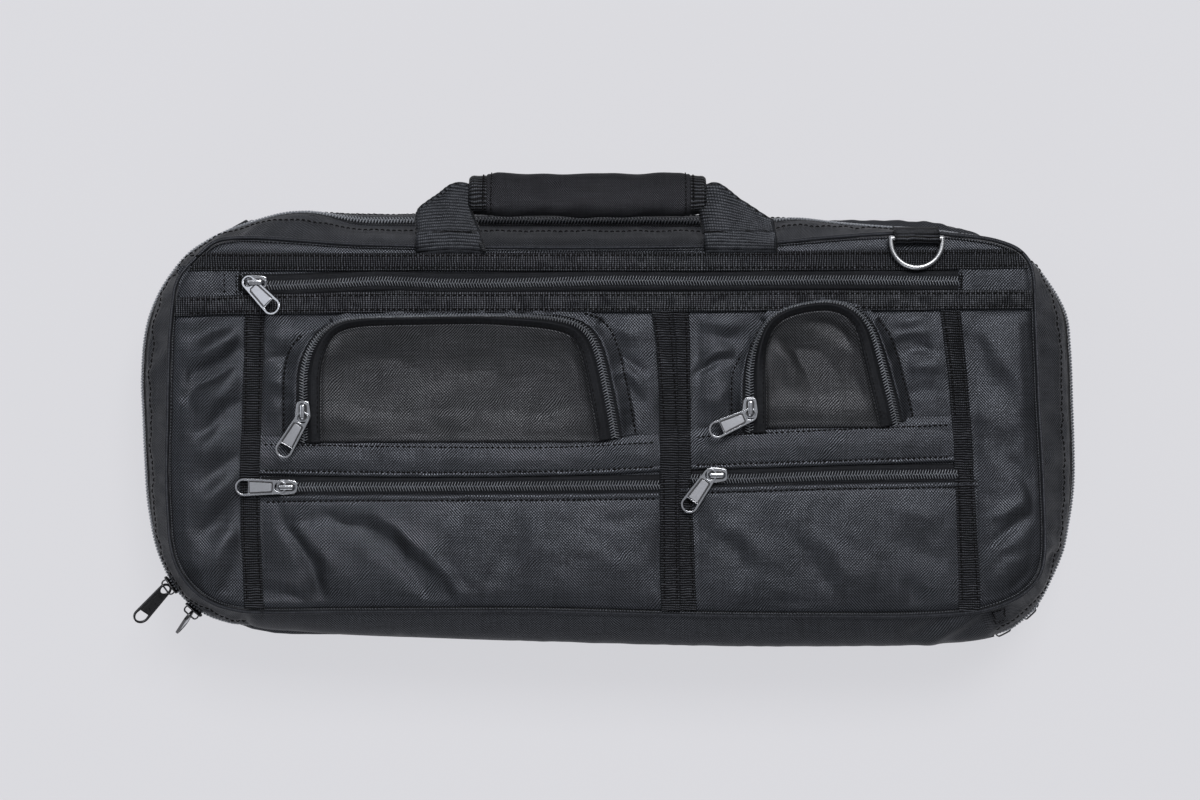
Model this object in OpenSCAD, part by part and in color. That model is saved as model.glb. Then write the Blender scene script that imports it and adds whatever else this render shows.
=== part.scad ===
// Soft-sided case for a roll of kitchen knives: a middle leaf between a
// front cover and a back cover, each closed on three sides by a long zip and
// hinged along the bottom edge. The case lies on its back; millimetres, +Z up,
// +Y towards the carry handle, origin under the middle of the body.

/* [Case body] */
// Left edge of the zip line, as a distance from the middle
case_left = 258; // [254:1:262]
// Right edge of the zip line, as a distance from the middle
case_right = 258; // [254:1:262]
// Top edge of the zip line, as a distance from the middle
case_top = 119.5; // [117:0.5:122]
// Bottom edge of the zip line, as a distance from the middle
case_bottom = 118.5; // [117:0.5:120]
// Thickness of the padded fabric walls
wall_t = 2; // [1.6:0.1:2.4]
// Height of the back zip line
back_zip_z = 32; // [31:0.5:33]
// Height of the front zip line
front_zip_z = 62; // [61:0.5:63]

/* [Panels] */
// Thickness of the stiff board in each cover
board_t = 2.4; // [2:0.1:2.6]
// Thickness of the middle leaf's board
leaf_t = 3.2; // [3:0.1:4]
// Thickness of the outer fabric
skin_t = 1.2; // [1:0.1:1.2]
// Width of the narrow vertical ribbons
ribbon_w = 11.4; // [10:0.2:12]
// Thickness of every ribbon
ribbon_t = 1; // [0.9:0.1:1.1]

/* [Carry handle] */
// Width of the handle webbing
strap_w = 38.6; // [36:0.1:40]
// Length of the padded grip
grip_len = 131; // [126:1:134]
// Width of the padded grip
grip_w = 25; // [24:0.5:26]
// Depth of the padded grip
grip_t = 14; // [12:0.5:15]

/* [D-rings] */
// Inner width of a D-ring
dring_inner = 25; // [24:0.5:26]
// Wire thickness of a D-ring
dring_wire = 3; // [2.8:0.1:3.2]

/* [Zips] */
// Height of a coil above the underside of its tape
coil_h = 2.4; // [2.2:0.1:2.4]
// Gap between the two coil rows
coil_gap = 0.8; // [0.7:0.05:0.9]
// Overall length of a puller
pull_len = 28; // [26:0.5:29]
// Thickness of a puller
pull_t = 1.6; // [1.4:0.1:1.6]

/* [Hidden] */
$fn = 48;

cloth = "#23242a"; webbing = "#1c1d20"; metal = "#3a3b40"; plate = "#b9bac4";
liner = "#2e3036"; stiff = "#3b3c3f"; coil = "#2a2b2e";

panel_z = 91.2;                  // underside of the front fabric
zt = panel_z + skin_t;           // underside of the flat pocket zips
zu = zt + 5;                     // underside of the pouch zips
leaf_z = (back_zip_z + front_zip_z) / 2;

// Rounded outline: left, right, bottom, top, radii [bl, br, tr, tl], inset, arc steps
function arc(cx, cy, r, a0, n) = [for (i = [0:n]) let (a = a0 + 90 * i / n)
  [cx + r * cos(a), cy + r * sin(a)]];
function outline(e, r, d = 0, n = 8) = concat(
  arc(e[0] + r[0], e[2] + r[0], r[0] - d, 180, n),
  arc(e[1] - r[1], e[2] + r[1], r[1] - d, 270, n),
  arc(e[1] - r[2], e[3] - r[2], r[2] - d, 0, n),
  arc(e[0] + r[3], e[3] - r[3], r[3] - d, 90, n));
zip_e = [-case_left, case_right, -case_bottom, case_top];
zip_r = [78, 60, 82, 78];
zip_end_l = -202; zip_end_r = 216;   // where the case zips stop at the bottom
face_e = [-241, 237, -100.5, 102.5];
face_r = [36, 36, 30, 30];
base_e = [-242, 242, -103, 103];
base_r = [40, 40, 40, 40];
mid_e = [-249, 246, -110, 111];
mid_r = [60, 48, 46, 50];

module slab(e, r, z0, z1, d = 0, n = 8)
  translate([0, 0, z0]) linear_extrude(z1 - z0) polygon(outline(e, r, d, n));
module ring(e, r, z0, z1, d0, d1, n = 24)
  translate([0, 0, z0]) linear_extrude(z1 - z0) difference() {
    polygon(outline(e, r, d0, n)); polygon(outline(e, r, d1, n)); }

// Rounded rectangle, centred
module rrect(w, h, r) {
  square([w - 2 * r, h], center = true);
  square([w, h - 2 * r], center = true);
  for (x = [-1, 1], y = [-1, 1])
    translate([x * (w / 2 - r), y * (h / 2 - r)]) circle(r);
}

// ---- zips -------------------------------------------------------------
// Half of a straight zip along X: side = 1 above the centre line, -1 below
module zip_row(x0, x1, side, tape = 7.6) {
  y0 = side > 0 ? coil_gap / 2 : -tape;
  translate([x0, y0, 0]) cube([x1 - x0, tape - coil_gap / 2, 0.6]);
  c0 = side > 0 ? coil_gap / 2 : -2.8;
  translate([x0, c0, 0.6]) cube([x1 - x0, 2.8 - coil_gap / 2, coil_h - 0.6]);
}
module straight_zip(x0, x1, y, tape = 7.6)
  translate([0, y, zt]) { zip_row(x0, x1, 1, tape); zip_row(x0, x1, -1, tape); }

// Three-sided zip half round the case; up = 1 above the zip line
module case_zip(z, up) difference() {
  union() {
    ring(zip_e, zip_r, up > 0 ? z + coil_gap / 2 : z - 8, up > 0 ? z + 8 : z - coil_gap / 2, -0.6, 0);
    ring(zip_e, zip_r, up > 0 ? z + coil_gap / 2 : z - 2.8, up > 0 ? z + 2.8 : z - coil_gap / 2, -coil_h, -0.6);
  }
  translate([zip_end_l, -150, z - 20]) cube([zip_end_r - zip_end_l, 60, 40]);
}
// Wall strip along the bottom edge, between the two ends of a case zip
module hem(z0, z1) intersection() {
  ring(zip_e, zip_r, z0, z1, 0, wall_t, 12);
  translate([zip_end_l + 0.2, -150, z0 - 1]) cube([zip_end_r - zip_end_l - 0.4, 60, z1 - z0 + 2]);
}

// Slider body: chain along X, tape underside at z = 0, tape and coils pass
// between the two plates. sides lists which coil rows it wraps.
module slider_body(sides = [-1, 1], up = 3, rise = 2.4, bar_w = 2.4) {
  translate([0, 0, -1.4]) linear_extrude(1) rrect(12, 8.4, 2);
  translate([0, 0, up]) linear_extrude(0.9) rrect(11.6, 8.6, 2.4);
  for (s = sides) translate([-3.6, s > 0 ? 3.4 : -4.2, 0.95]) cube([7.2, 0.8, up - 0.9]);
  translate([2.2, -0.2, -0.9]) cube([2.6, 0.4, up + 1.2]);
  for (x = [-4.2, 3.2]) translate([x, -bar_w / 3, up + 0.8]) cube([1, bar_w * 2 / 3, rise + 0.3]);
  translate([-4.2, -bar_w / 2, up + 0.9 + rise]) cube([8.4, bar_w, 1]);
}

// Puller: eye at the origin, body towards +X, flat in XY, centred on z = 0
module pull(t = pull_t) {
  r0 = 3.7; r1 = 4.75; L = pull_len - r0 - r1;
  color(metal) difference() {
    translate([0, 0, -t / 2]) linear_extrude(t) {
      circle(r0); translate([L, 0]) circle(r1);
      polygon([[0.2, -3.68], [L + 0.2, -4.74], [L + 0.2, 4.74], [0.2, 3.68]]);
    }
    translate([0, 0, -t]) cylinder(r = 2.6, h = 2 * t);
    translate([L - 2, -3.2, -t]) cube([2, 6.4, 2 * t]);
    translate([L, 0, -t]) cylinder(r = 3.2, h = 2 * t);
    translate([0, 0, t / 2 - 0.3]) linear_extrude(1)
      polygon([[4.6, -2.5], [L - 3, -3.1], [L - 3, 3.1], [4.6, 2.5]]);
  }
}
eye_z = 5;        // puller's middle height above the tape underside
leg_x = 3.7;      // distance of a bridge leg from the slider's middle

// ---- curved pouch zips -------------------------------------------------
// Point along a chain of control points, rounded as a quadratic curve
function mixp(a, b, t) = a * (1 - t) + b * t;
function quad(a, b, c, t) = mixp(mixp(a, b, t), mixp(b, c, t), t);
function curve(p, n) = concat([p[0]],
  [for (i = [1:len(p) - 2]) each
    let (a = i == 1 ? p[0] : (p[i - 1] + p[i]) / 2,
         c = i == len(p) - 2 ? p[len(p) - 1] : (p[i] + p[i + 1]) / 2)
    [for (k = [1:n]) quad(a, p[i], c, k / n)]]);
function dirn(p, i) = let (a = p[max(i - 1, 0)], b = p[min(i + 1, len(p) - 1)],
  d = b - a) d / norm(d);
function side_pts(p, o) = [for (i = [0:len(p) - 1]) let (d = dirn(p, i))
  p[i] + o * [-d[1], d[0]]];
function rev(v) = [for (i = [len(v) - 1:-1:0]) v[i]];
module band2d(p, o0, o1) polygon(concat(side_pts(p, o0), rev(side_pts(p, o1))));

// Zip line of each pouch, from the slider's end over the top to the far end
left_path = curve([[-167, -7.5], [-167, 14], [-167, 34], [-160.5, 50], [-148, 60.2], [-120, 61],
  [-60, 62], [-24, 61], [-9, 53], [-2, 30], [4, -5]], 5);
right_path = curve([[77.6, -2], [77.6, 16], [77.6, 34], [81.5, 50], [90, 63], [110, 69.5],
  [130, 69.5], [143, 59], [149, 40], [154, 20], [158.5, 3]], 5);
left_hinge_y = -7; right_hinge_y = 1;
left_notch = [[-172, -9], [-160, 27]];
right_notch = [[72, -4], [84.4, 32]];

module pouch_wall(path, w, x0, x1, y0) {
  // sloping cloth rim outside the zip line, flat on top, resting on the fabric
  // the rim stops short of the lower cross band and of the placket's seam
  color(cloth) for (k = [0:3]) translate([0, 0, zt + k * (zu - zt) / 4])
    linear_extrude((zu - zt) / 4) difference() {
      band2d(path, 4.8, w - k * (w - 7.4) / 4);
      translate([-300, k == 0 ? 63.5 : 73.8]) square([600, 60]);
      translate([-300, y0 - 62.8]) square([600, 60]);
    }
  // rim along the flap's bottom seam
  color(cloth) translate([x0, y0 - 2.8, zt]) cube([x1 - x0, 2.5, zu - zt]);
}
module pouch_zip(path, notch) color(coil) {
  translate([0, 0, zu]) linear_extrude(0.6) band2d(path, coil_gap / 2, 7.2);
  translate([0, 0, zu + 0.6]) linear_extrude(coil_h - 0.6) band2d(path, coil_gap / 2, 2.8);
  // the inner row beside the parked slider stays with the pouch
  intersection() {
    union() {
      translate([0, 0, zu]) linear_extrude(0.6) band2d(path, -4.6, -coil_gap / 2);
      translate([0, 0, zu + 0.6]) linear_extrude(coil_h - 0.6) band2d(path, -2.8, -coil_gap / 2);
    }
    translate([notch[0][0], notch[0][1], zu - 1])
      cube([notch[1][0] - notch[0][0] - 0.4, notch[1][1] - notch[0][1] - 0.4, 5]);
  }
}
module pouch_flap(path, notch, y0) color(cloth) difference() {
  union() {
    translate([0, 0, zu + 0.6]) linear_extrude(1.4) polygon(side_pts(path, -5));
    translate([0, 0, zu]) linear_extrude(0.6) band2d(path, -8, -coil_gap / 2);
    translate([0, 0, zu + 0.6]) linear_extrude(coil_h - 0.6) band2d(path, -2.8, -coil_gap / 2);
  }
  translate([notch[0][0], notch[0][1] - 10, zu - 1])
    cube([notch[1][0] - notch[0][0], notch[1][1] - notch[0][1] + 10, 6]);
  translate([-300, y0 - 60, zu - 1]) cube([600, 60, 6]);
}

// ---- middle leaf -------------------------------------------------------
module leaf_board() color(stiff) slab(zip_e, zip_r, leaf_z - leaf_t / 2, leaf_z + leaf_t / 2, wall_t + 0.3, 12);
module leaf_wall() color(cloth) {
  ring(zip_e, zip_r, back_zip_z + 5.2, front_zip_z - 5.2, 0, wall_t, 12);
  // bottom strips that reach the two fabric hinges
  hem(back_zip_z + 0.3, back_zip_z + 5.2);
  hem(front_zip_z - 5.2, front_zip_z - 0.3);
}
module leaf_lining() color(liner) {
  slab(zip_e, zip_r, leaf_z + leaf_t / 2, leaf_z + leaf_t / 2 + 0.8, wall_t + 0.3, 12);
  slab(zip_e, zip_r, leaf_z - leaf_t / 2 - 0.8, leaf_z - leaf_t / 2, wall_t + 0.3, 12);
}
module elastic_bands(z) for (y = [-62, 30])
  translate([-215, y, z]) cube([430, 38, 1.4]);
module leaf_front_elastics() color(webbing) elastic_bands(leaf_z + leaf_t / 2 + 0.8);
module leaf_back_elastics() color(webbing) elastic_bands(leaf_z - leaf_t / 2 - 2.2);
module leaf_front_zip() color(coil) case_zip(front_zip_z, -1);
// the leaf's row starts past the parked slider at the right end
module leaf_back_zip() color(coil) difference() {
  case_zip(back_zip_z, 1);
  translate([zip_end_r - 2, -150, back_zip_z - 1]) cube([18.8, 55, 12]);
}

// ---- back cover --------------------------------------------------------
module back_panel() color(cloth) slab(base_e, base_r, 0, 1.2, 0, 10);
module back_wall() color(cloth) {
  difference() {
    hull() { slab(base_e, base_r, 1.2, 1.3); slab(zip_e, zip_r, 21, 23.6); }
    hull() { slab(base_e, base_r, 1.1, 1.3, wall_t); slab(zip_e, zip_r, 21, 24, wall_t); }
  }
  ring(zip_e, zip_r, 23.6, back_zip_z - 5.2, 0, wall_t, 8);
  hem(back_zip_z - 5.2, back_zip_z - 0.3);
}
module back_board() color(stiff) slab(base_e, base_r, 1.2, 1.2 + board_t, 3.2, 10);
module back_lining() color(liner) slab(base_e, base_r, 1.2 + board_t, 2 + board_t, 3.2, 10);
module back_piping() color(webbing) ring(base_e, base_r, 0, 1.2, -1.8, 0, 10);
module back_cover_zip() color(coil) case_zip(back_zip_z, -1);

// ---- front cover -------------------------------------------------------
module slot(x0, x1, y) translate([x0, y - 4.6, panel_z - 1]) cube([x1 - x0, 9.2, 4]);
module front_panel() color(cloth) difference() {
  slab(face_e, face_r, panel_z, zt, 0, 10);
  slot(-214, 194, 80.5);
  slot(-188, 28.6, -31.8);
  slot(50, 192, -25.2);
}
module front_wall() color(cloth) {
  difference() {
    hull() { slab(zip_e, zip_r, 70.4, 73); slab(mid_e, mid_r, 82, 82.2); slab(face_e, face_r, panel_z - 0.1, panel_z); }
    hull() { slab(zip_e, zip_r, 70, 73, wall_t); slab(mid_e, mid_r, 82, 82.2, wall_t); slab(face_e, face_r, panel_z, panel_z + 0.1, wall_t); }
  }
  ring(zip_e, zip_r, front_zip_z + 5.2, 70.4, 0, wall_t, 8);
  hem(front_zip_z + 0.3, front_zip_z + 5.2);
}
module front_board() color(stiff) slab(face_e, face_r, 87.2, 87.2 + board_t, 3.4, 10);
module front_lining() color(liner) slab(face_e, face_r, 86.4, 87.2, 3.4, 10);
module front_piping() color(webbing) ring(face_e, face_r, zt, zt + 1.6, 0, 2.4, 10);
module front_cover_zip() color(coil) case_zip(front_zip_z, 1);

module patch(x0, x1, y0, y1, t = ribbon_t) translate([x0, y0, zt]) cube([x1 - x0, y1 - y0, t]);
// ribbons pass over the zip tapes with a step cut in their underside
module tape_room() for (z = [[-216, 196, 80.5], [-190, 29, -31.8], [44, 194, -25.2]])
  translate([z[0], z[2] - 7.6, zt - 1]) cube([z[1] - z[0], 15.2, 1.6]);
module cross_bands() color(webbing) intersection() {
  difference() {
    union() {
      patch(-234, 232, 86.4, 97.6); patch(-236, 232, 63.6, 74.6);
      patch(-234, -215.8, 74.6, 86.4); patch(195.8, 232, 74.6, 86.4);
    }
    tape_room();
  }
  slab(face_e, face_r, zt - 1, zt + 5, 2.6, 10);
}
module ribbon(x, y0, y1) patch(x - ribbon_w / 2, x + ribbon_w / 2, y0, y1);
module ribbon_left() color(webbing) ribbon(-196.5, -97, 63.4);
module ribbon_middle() color(webbing) difference() {
  patch(28.8, 49.6, -97.6, 63.4); tape_room();
}
module ribbon_right() color(webbing) difference() { ribbon(199, -97.6, 63.4); tape_room(); }
module lower_left_pocket() color(cloth) difference() { patch(-190.6, 28.6, -96, -38.4, 1.2); tape_room(); }
module lower_right_pocket() color(cloth) difference() { patch(49.8, 193, -97, -31.6, 1.2); tape_room(); }
module left_placket() color(cloth) difference() {
  patch(-190.6, 28.6, -26, -10, 1.2); tape_room();
}
module right_placket() color(cloth) difference() {
  patch(49.8, 193, -19, -3, 1.2); tape_room();
}
module top_pocket_zip() color(coil) straight_zip(-214, 194, 80.5, 6.4);
module lower_left_zip() color(coil) straight_zip(-188, 28.6, -31.8, 6);
module lower_right_zip() color(coil) straight_zip(50, 192, -25.2, 6);

module left_pouch_wall() pouch_wall(left_path, 15, -158, -4, left_hinge_y);
module right_pouch_wall() pouch_wall(right_path, 12, 86, 152, right_hinge_y);
module left_pouch_zip() pouch_zip(left_path, left_notch);
module right_pouch_zip() pouch_zip(right_path, right_notch);
module left_flap() pouch_flap(left_path, left_notch, left_hinge_y);
module right_flap() pouch_flap(right_path, right_notch, right_hinge_y);

// ---- D-rings -----------------------------------------------------------
// straight bar along X through the origin, bow towards -Y
module d_ring() color(metal) {
  r = dring_wire / 2; h = dring_inner / 2 + r;
  rotate([0, 90, 0]) translate([0, 0, -h]) cylinder(r = r, h = 2 * h);
  for (s = [-1, 1]) {
    translate([s * h, 0, 0]) sphere(r);
    rotate([90, 0, 0]) translate([s * h, 0, 0]) cylinder(r = r, h = 2);
  }
  translate([0, -2, 0]) rotate([0, 0, 180]) rotate_extrude(angle = 180)
    translate([h, 0]) circle(r);
}
module ring_loop(tab) color(webbing) {
  w = dring_inner - 1.4; r = dring_wire / 2;
  rotate([0, 90, 0]) translate([0, 0, -w / 2]) difference() {
    cylinder(r = r + 1.6, h = w);
    translate([0, 0, -1]) cylinder(r = r + 0.35, h = w + 2);
  }
  difference() {
    translate([-w / 2, 0, -r - 1.6]) cube([w, tab, 1.2]);
    rotate([0, 90, 0]) translate([0, 0, -w]) cylinder(r = r + 1, h = 2 * w);
  }
}
fr = [169.3, 104.8, zt + 4.2];   // front ring's bar
br_turn = 119;                    // where the back ring sits on the top left corner
br = [-case_left + zip_r[3] + (zip_r[3] + 3.4) * cos(br_turn),
      case_top - zip_r[3] + (zip_r[3] + 3.4) * sin(br_turn), 18.4];
module front_ring_loop() translate(fr) ring_loop(5.4);
module front_d_ring() translate(fr) d_ring();
module back_ring_loop() translate(br) rotate([90, 0, br_turn - 90]) color(webbing) {
  w = dring_inner - 1.4; r = dring_wire / 2;
  rotate([0, 90, 0]) translate([0, 0, -w / 2]) difference() {
    cylinder(r = r + 1.6, h = w);
    translate([0, 0, -1]) cylinder(r = r + 0.35, h = w + 2);
  }
}
module back_d_ring() translate(br) rotate([90, 0, br_turn - 90]) d_ring();

// ---- carry handle ------------------------------------------------------
hy = 104.4; hz = panel_z + 0.6; hang = 25;
module in_handle() translate([0, hy, hz]) rotate([-hang, 0, 0]) children();
module handle_straps() color(webbing) in_handle() {
  translate([0, 0, -0.9]) linear_extrude(1.8) {
    polygon([[-105.5, 0.6], [-105.5 + strap_w, 0.6], [-72, 12], [-77, 17], [-77, 38], [-86, 34]]);
    polygon([[92, 0.6], [92 - strap_w, 0.6], [58, 14], [54, 17], [54, 38], [60, 37]]);
  }
  translate([-77, 18, -0.9]) cube([grip_len, 20, 1.8]);
}
module handle_grip() color(cloth) in_handle() difference() {
  translate([-76.9, 28.2, 0]) rotate([90, 0, 90]) linear_extrude(grip_len - 0.2) rrect(grip_w, grip_t, 6);
  translate([-80, 17.7, -1.2]) cube([grip_len + 8, 20.6, 2.4]);
}

// ---- sliders and pullers -------------------------------------------------
// place = middle of the slider, turn = direction from its middle to the leg
// that carries the puller
top_at = [-193.3, 80.5, zt]; top_lean = -45; top_tip = 15;
ll_at = [-176.5, -31.8, zt];
lr_at = [59.6, -25.2, zt]; lr_lean = 235;
lp_at = [-167, 9.6, zu]; lp_lean = 239.5;
rp_at = [77.6, 11.6, zu]; rp_lean = 204;
// the top puller rests tipped up a little, clear of the pouches it passes
module top_slider() color(metal) translate(top_at) rotate(180) slider_body(rise = 4.8);
module top_pull() translate(top_at + [-leg_x, 0, eye_z + 1.3]) rotate([0, -top_tip, top_lean]) pull();
module lower_left_slider() color(metal) translate(ll_at) rotate(180) slider_body();
module lower_left_pull() translate(ll_at + [-leg_x, 0, eye_z]) rotate(180) pull();
module lower_right_slider() color(metal) translate(lr_at) rotate(180) slider_body();
module lower_right_pull() translate(lr_at + [-leg_x, 0, eye_z]) rotate(lr_lean) pull();
module left_pouch_slider() color(metal) translate(lp_at) rotate(-90) slider_body([-1]);
module left_pouch_pull() translate(lp_at + [0, -leg_x, eye_z]) rotate(lp_lean) pull();
module right_pouch_slider() color(metal) translate(rp_at) rotate(-90) slider_body([-1]);
module right_pouch_pull() translate(rp_at + [0, -leg_x, eye_z]) rotate(rp_lean) pull();

// case zips: sliders ride the corner arcs, bridge facing outwards
left_arc = [-case_left + zip_r[0], -case_bottom + zip_r[0]];
right_arc = [case_right - zip_r[1], -case_bottom + zip_r[1]];
module on_arc(c, r, a, z) translate([c[0], c[1], z]) rotate([0, 0, a])
  translate([r, 0, 0]) rotate([90, 0, 90]) children();
fa = 215.8; fb = 229.1; ba = 297; bb = 313;
bridge_n = 3.1 + 0.9 + 2.9 + 0.5;   // bridge bar's middle, from the tape
module case_slider(side) color(metal) slider_body([side], 3.1, 2.9, 1.4);
module front_zip_slider_a() on_arc(left_arc, zip_r[0], fa, front_zip_z) case_slider(-1);
module front_zip_slider_b() on_arc(left_arc, zip_r[0], fb, front_zip_z) case_slider(-1);
module back_zip_slider_a() on_arc(right_arc, zip_r[1], ba, back_zip_z) case_slider(-1);
module back_zip_slider_b() on_arc(right_arc, zip_r[1], bb, back_zip_z) case_slider(-1);
// puller a stands out level, twisted so that its eye clears the bridge
module front_zip_pull_a() on_arc(left_arc, zip_r[0], fa, front_zip_z)
  translate([0, 0, bridge_n]) rotate([0, 12 - 90, 0]) rotate([52, 0, 0]) translate([0.6, 0, 0]) pull(1.4);
// puller b hangs outwards and down, edge on to the wall
module front_zip_pull_b() on_arc(left_arc, zip_r[0], fb, front_zip_z)
  translate([0, 0, bridge_n]) rotate([58, 0, 0]) rotate([0, -90, 0]) translate([1.5, 0, 0]) pull();
module hung_pull() translate([leg_x, 0, 3.1 + 0.9 + 1.45]) rotate(-90) pull();
module back_zip_pull_a() on_arc(right_arc, zip_r[1], ba, back_zip_z) hung_pull();
module back_zip_pull_b() on_arc(right_arc, zip_r[1], bb, back_zip_z) hung_pull();

leaf_board();
leaf_wall();
leaf_lining();
leaf_front_elastics();
leaf_back_elastics();
leaf_front_zip();
leaf_back_zip();
back_panel();
back_wall();
back_board();
back_lining();
back_piping();
back_cover_zip();
back_ring_loop();
back_d_ring();
front_panel();
front_wall();
front_board();
front_lining();
front_piping();
front_cover_zip();
cross_bands();
ribbon_left();
ribbon_middle();
ribbon_right();
lower_left_pocket();
lower_right_pocket();
left_placket();
right_placket();
left_pouch_wall();
right_pouch_wall();
left_flap();
right_flap();
top_pocket_zip();
lower_left_zip();
lower_right_zip();
left_pouch_zip();
right_pouch_zip();
front_ring_loop();
front_d_ring();
handle_straps();
handle_grip();
top_slider();
top_pull();
lower_left_slider();
lower_left_pull();
lower_right_slider();
lower_right_pull();
left_pouch_slider();
left_pouch_pull();
right_pouch_slider();
right_pouch_pull();
front_zip_slider_a();
front_zip_pull_a();
front_zip_slider_b();
front_zip_pull_b();
back_zip_slider_a();
back_zip_pull_a();
back_zip_slider_b();
back_zip_pull_b();
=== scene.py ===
import bpy, math
import numpy as np
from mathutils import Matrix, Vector


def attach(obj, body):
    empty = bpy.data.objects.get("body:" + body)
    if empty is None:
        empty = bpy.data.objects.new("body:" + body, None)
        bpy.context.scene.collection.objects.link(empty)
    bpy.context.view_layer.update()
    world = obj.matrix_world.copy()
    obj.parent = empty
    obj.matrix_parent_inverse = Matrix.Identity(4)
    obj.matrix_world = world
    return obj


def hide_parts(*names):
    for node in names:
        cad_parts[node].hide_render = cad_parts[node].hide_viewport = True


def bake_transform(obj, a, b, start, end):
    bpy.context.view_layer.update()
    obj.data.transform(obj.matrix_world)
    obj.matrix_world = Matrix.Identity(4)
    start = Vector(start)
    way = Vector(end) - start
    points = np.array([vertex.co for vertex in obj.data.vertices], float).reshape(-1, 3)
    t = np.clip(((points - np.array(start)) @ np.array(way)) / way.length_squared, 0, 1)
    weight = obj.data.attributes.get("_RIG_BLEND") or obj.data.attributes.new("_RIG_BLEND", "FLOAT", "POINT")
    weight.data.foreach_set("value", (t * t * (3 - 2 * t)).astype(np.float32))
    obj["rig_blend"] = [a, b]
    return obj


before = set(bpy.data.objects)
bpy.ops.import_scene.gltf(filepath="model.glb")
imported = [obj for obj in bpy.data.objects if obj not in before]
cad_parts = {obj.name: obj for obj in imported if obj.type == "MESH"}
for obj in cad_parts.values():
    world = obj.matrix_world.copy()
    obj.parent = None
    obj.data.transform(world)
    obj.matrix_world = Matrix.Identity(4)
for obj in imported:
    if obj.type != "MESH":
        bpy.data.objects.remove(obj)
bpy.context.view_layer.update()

# ======================================================================
# Zipped soft case lying on its back. Work below is in millimetres in the
# shared frame; meshes are written in metres.
# ======================================================================
rng = np.random.default_rng(11)
ZT, ZU = 92.4, 97.4          # top of the front fabric, top of the pouch walls
HX = -118.8                  # y of the two fabric hinges


def px(u, v, z):
    """Point of the 1200 x 800 view at height z."""
    s = (1377.0 - z) * 36 / 70 / 1200
    return np.array([-4.5 + (u - 600) * s, 16 + (400 - v) * s])


def pxs(points, z=ZT):
    return np.array([px(u, v, z) for u, v in points])


def sstep(a, b, x):
    t = np.clip((np.asarray(x, float) - a) / (b - a), 0, 1)
    return t * t * (3 - 2 * t)


# ---------------------------------------------------------------- curves
def spline(P, n, closed=False):
    """Smooth curve through P, evenly spaced by chord length."""
    P = np.asarray(P, float)
    if closed:
        P = np.vstack([P, P[:1]])
    h = np.linalg.norm(np.diff(P[:, :3], axis=0), axis=1)
    t = np.concatenate([[0], np.cumsum(h)])
    d = np.diff(P, axis=0) / h[:, None]
    m = np.zeros_like(P)
    m[1:-1] = (d[:-1] * h[1:, None] + d[1:] * h[:-1, None]) / (h[1:] + h[:-1])[:, None]
    if closed:
        m[0] = m[-1] = (d[-1] * h[0] + d[0] * h[-1]) / (h[0] + h[-1])
    else:
        m[0] = 1.5 * d[0] - 0.5 * m[1] if len(P) > 2 else d[0]
        m[-1] = 1.5 * d[-1] - 0.5 * m[-2] if len(P) > 2 else d[-1]
    q = np.linspace(0, t[-1], n, endpoint=not closed)
    i = np.clip(np.searchsorted(t, q, side="right") - 1, 0, len(h) - 1)
    u = ((q - t[i]) / h[i])[:, None]
    H = h[i][:, None]
    return ((2 * u**3 - 3 * u**2 + 1) * P[i] + (u**3 - 2 * u**2 + u) * H * m[i]
            + (-2 * u**3 + 3 * u**2) * P[i + 1] + (u**3 - u**2) * H * m[i + 1])


def quad_curve(p, n=8):
    """Control points rounded as quadratic curves, as the pouch zips run."""
    p = [np.array(a, float) for a in p]
    out = [p[0]]
    for i in range(1, len(p) - 1):
        a = p[0] if i == 1 else (p[i - 1] + p[i]) / 2
        c = p[-1] if i == len(p) - 2 else (p[i] + p[i + 1]) / 2
        for k in range(1, n + 1):
            t = k / n
            ab, bc = a * (1 - t) + p[i] * t, p[i] * (1 - t) + c * t
            out.append(ab * (1 - t) + bc * t)
    return np.array(out)


def arclen(P, closed=False):
    Q = np.vstack([P, P[:1]]) if closed else P
    return np.concatenate([[0], np.cumsum(np.linalg.norm(np.diff(Q[:, :3], axis=0), axis=1))])


def even(P, step, closed=False, extra=None):
    """P resampled at about `step`; extra columns go along."""
    P = np.asarray(P, float)
    A = P if extra is None else np.hstack([P, extra])
    s = arclen(P, closed)
    if closed:
        A = np.vstack([A, A[:1]])
    n = max(2, int(round(s[-1] / step)))
    q = np.linspace(0, s[-1], n, endpoint=False) if closed else np.linspace(0, s[-1], n + 1)
    R = np.stack([np.interp(q, s, A[:, k]) for k in range(A.shape[1])], 1)
    return (R[:, :P.shape[1]], R[:, P.shape[1]:], q) if extra is not None else (R, q)


def unit(v):
    return v / np.maximum(np.linalg.norm(v, axis=-1, keepdims=True), 1e-9)


def tangent(P, closed=False):
    if closed:
        return unit(np.roll(P, -1, 0) - np.roll(P, 1, 0))
    return unit(np.gradient(P, axis=0))


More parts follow.
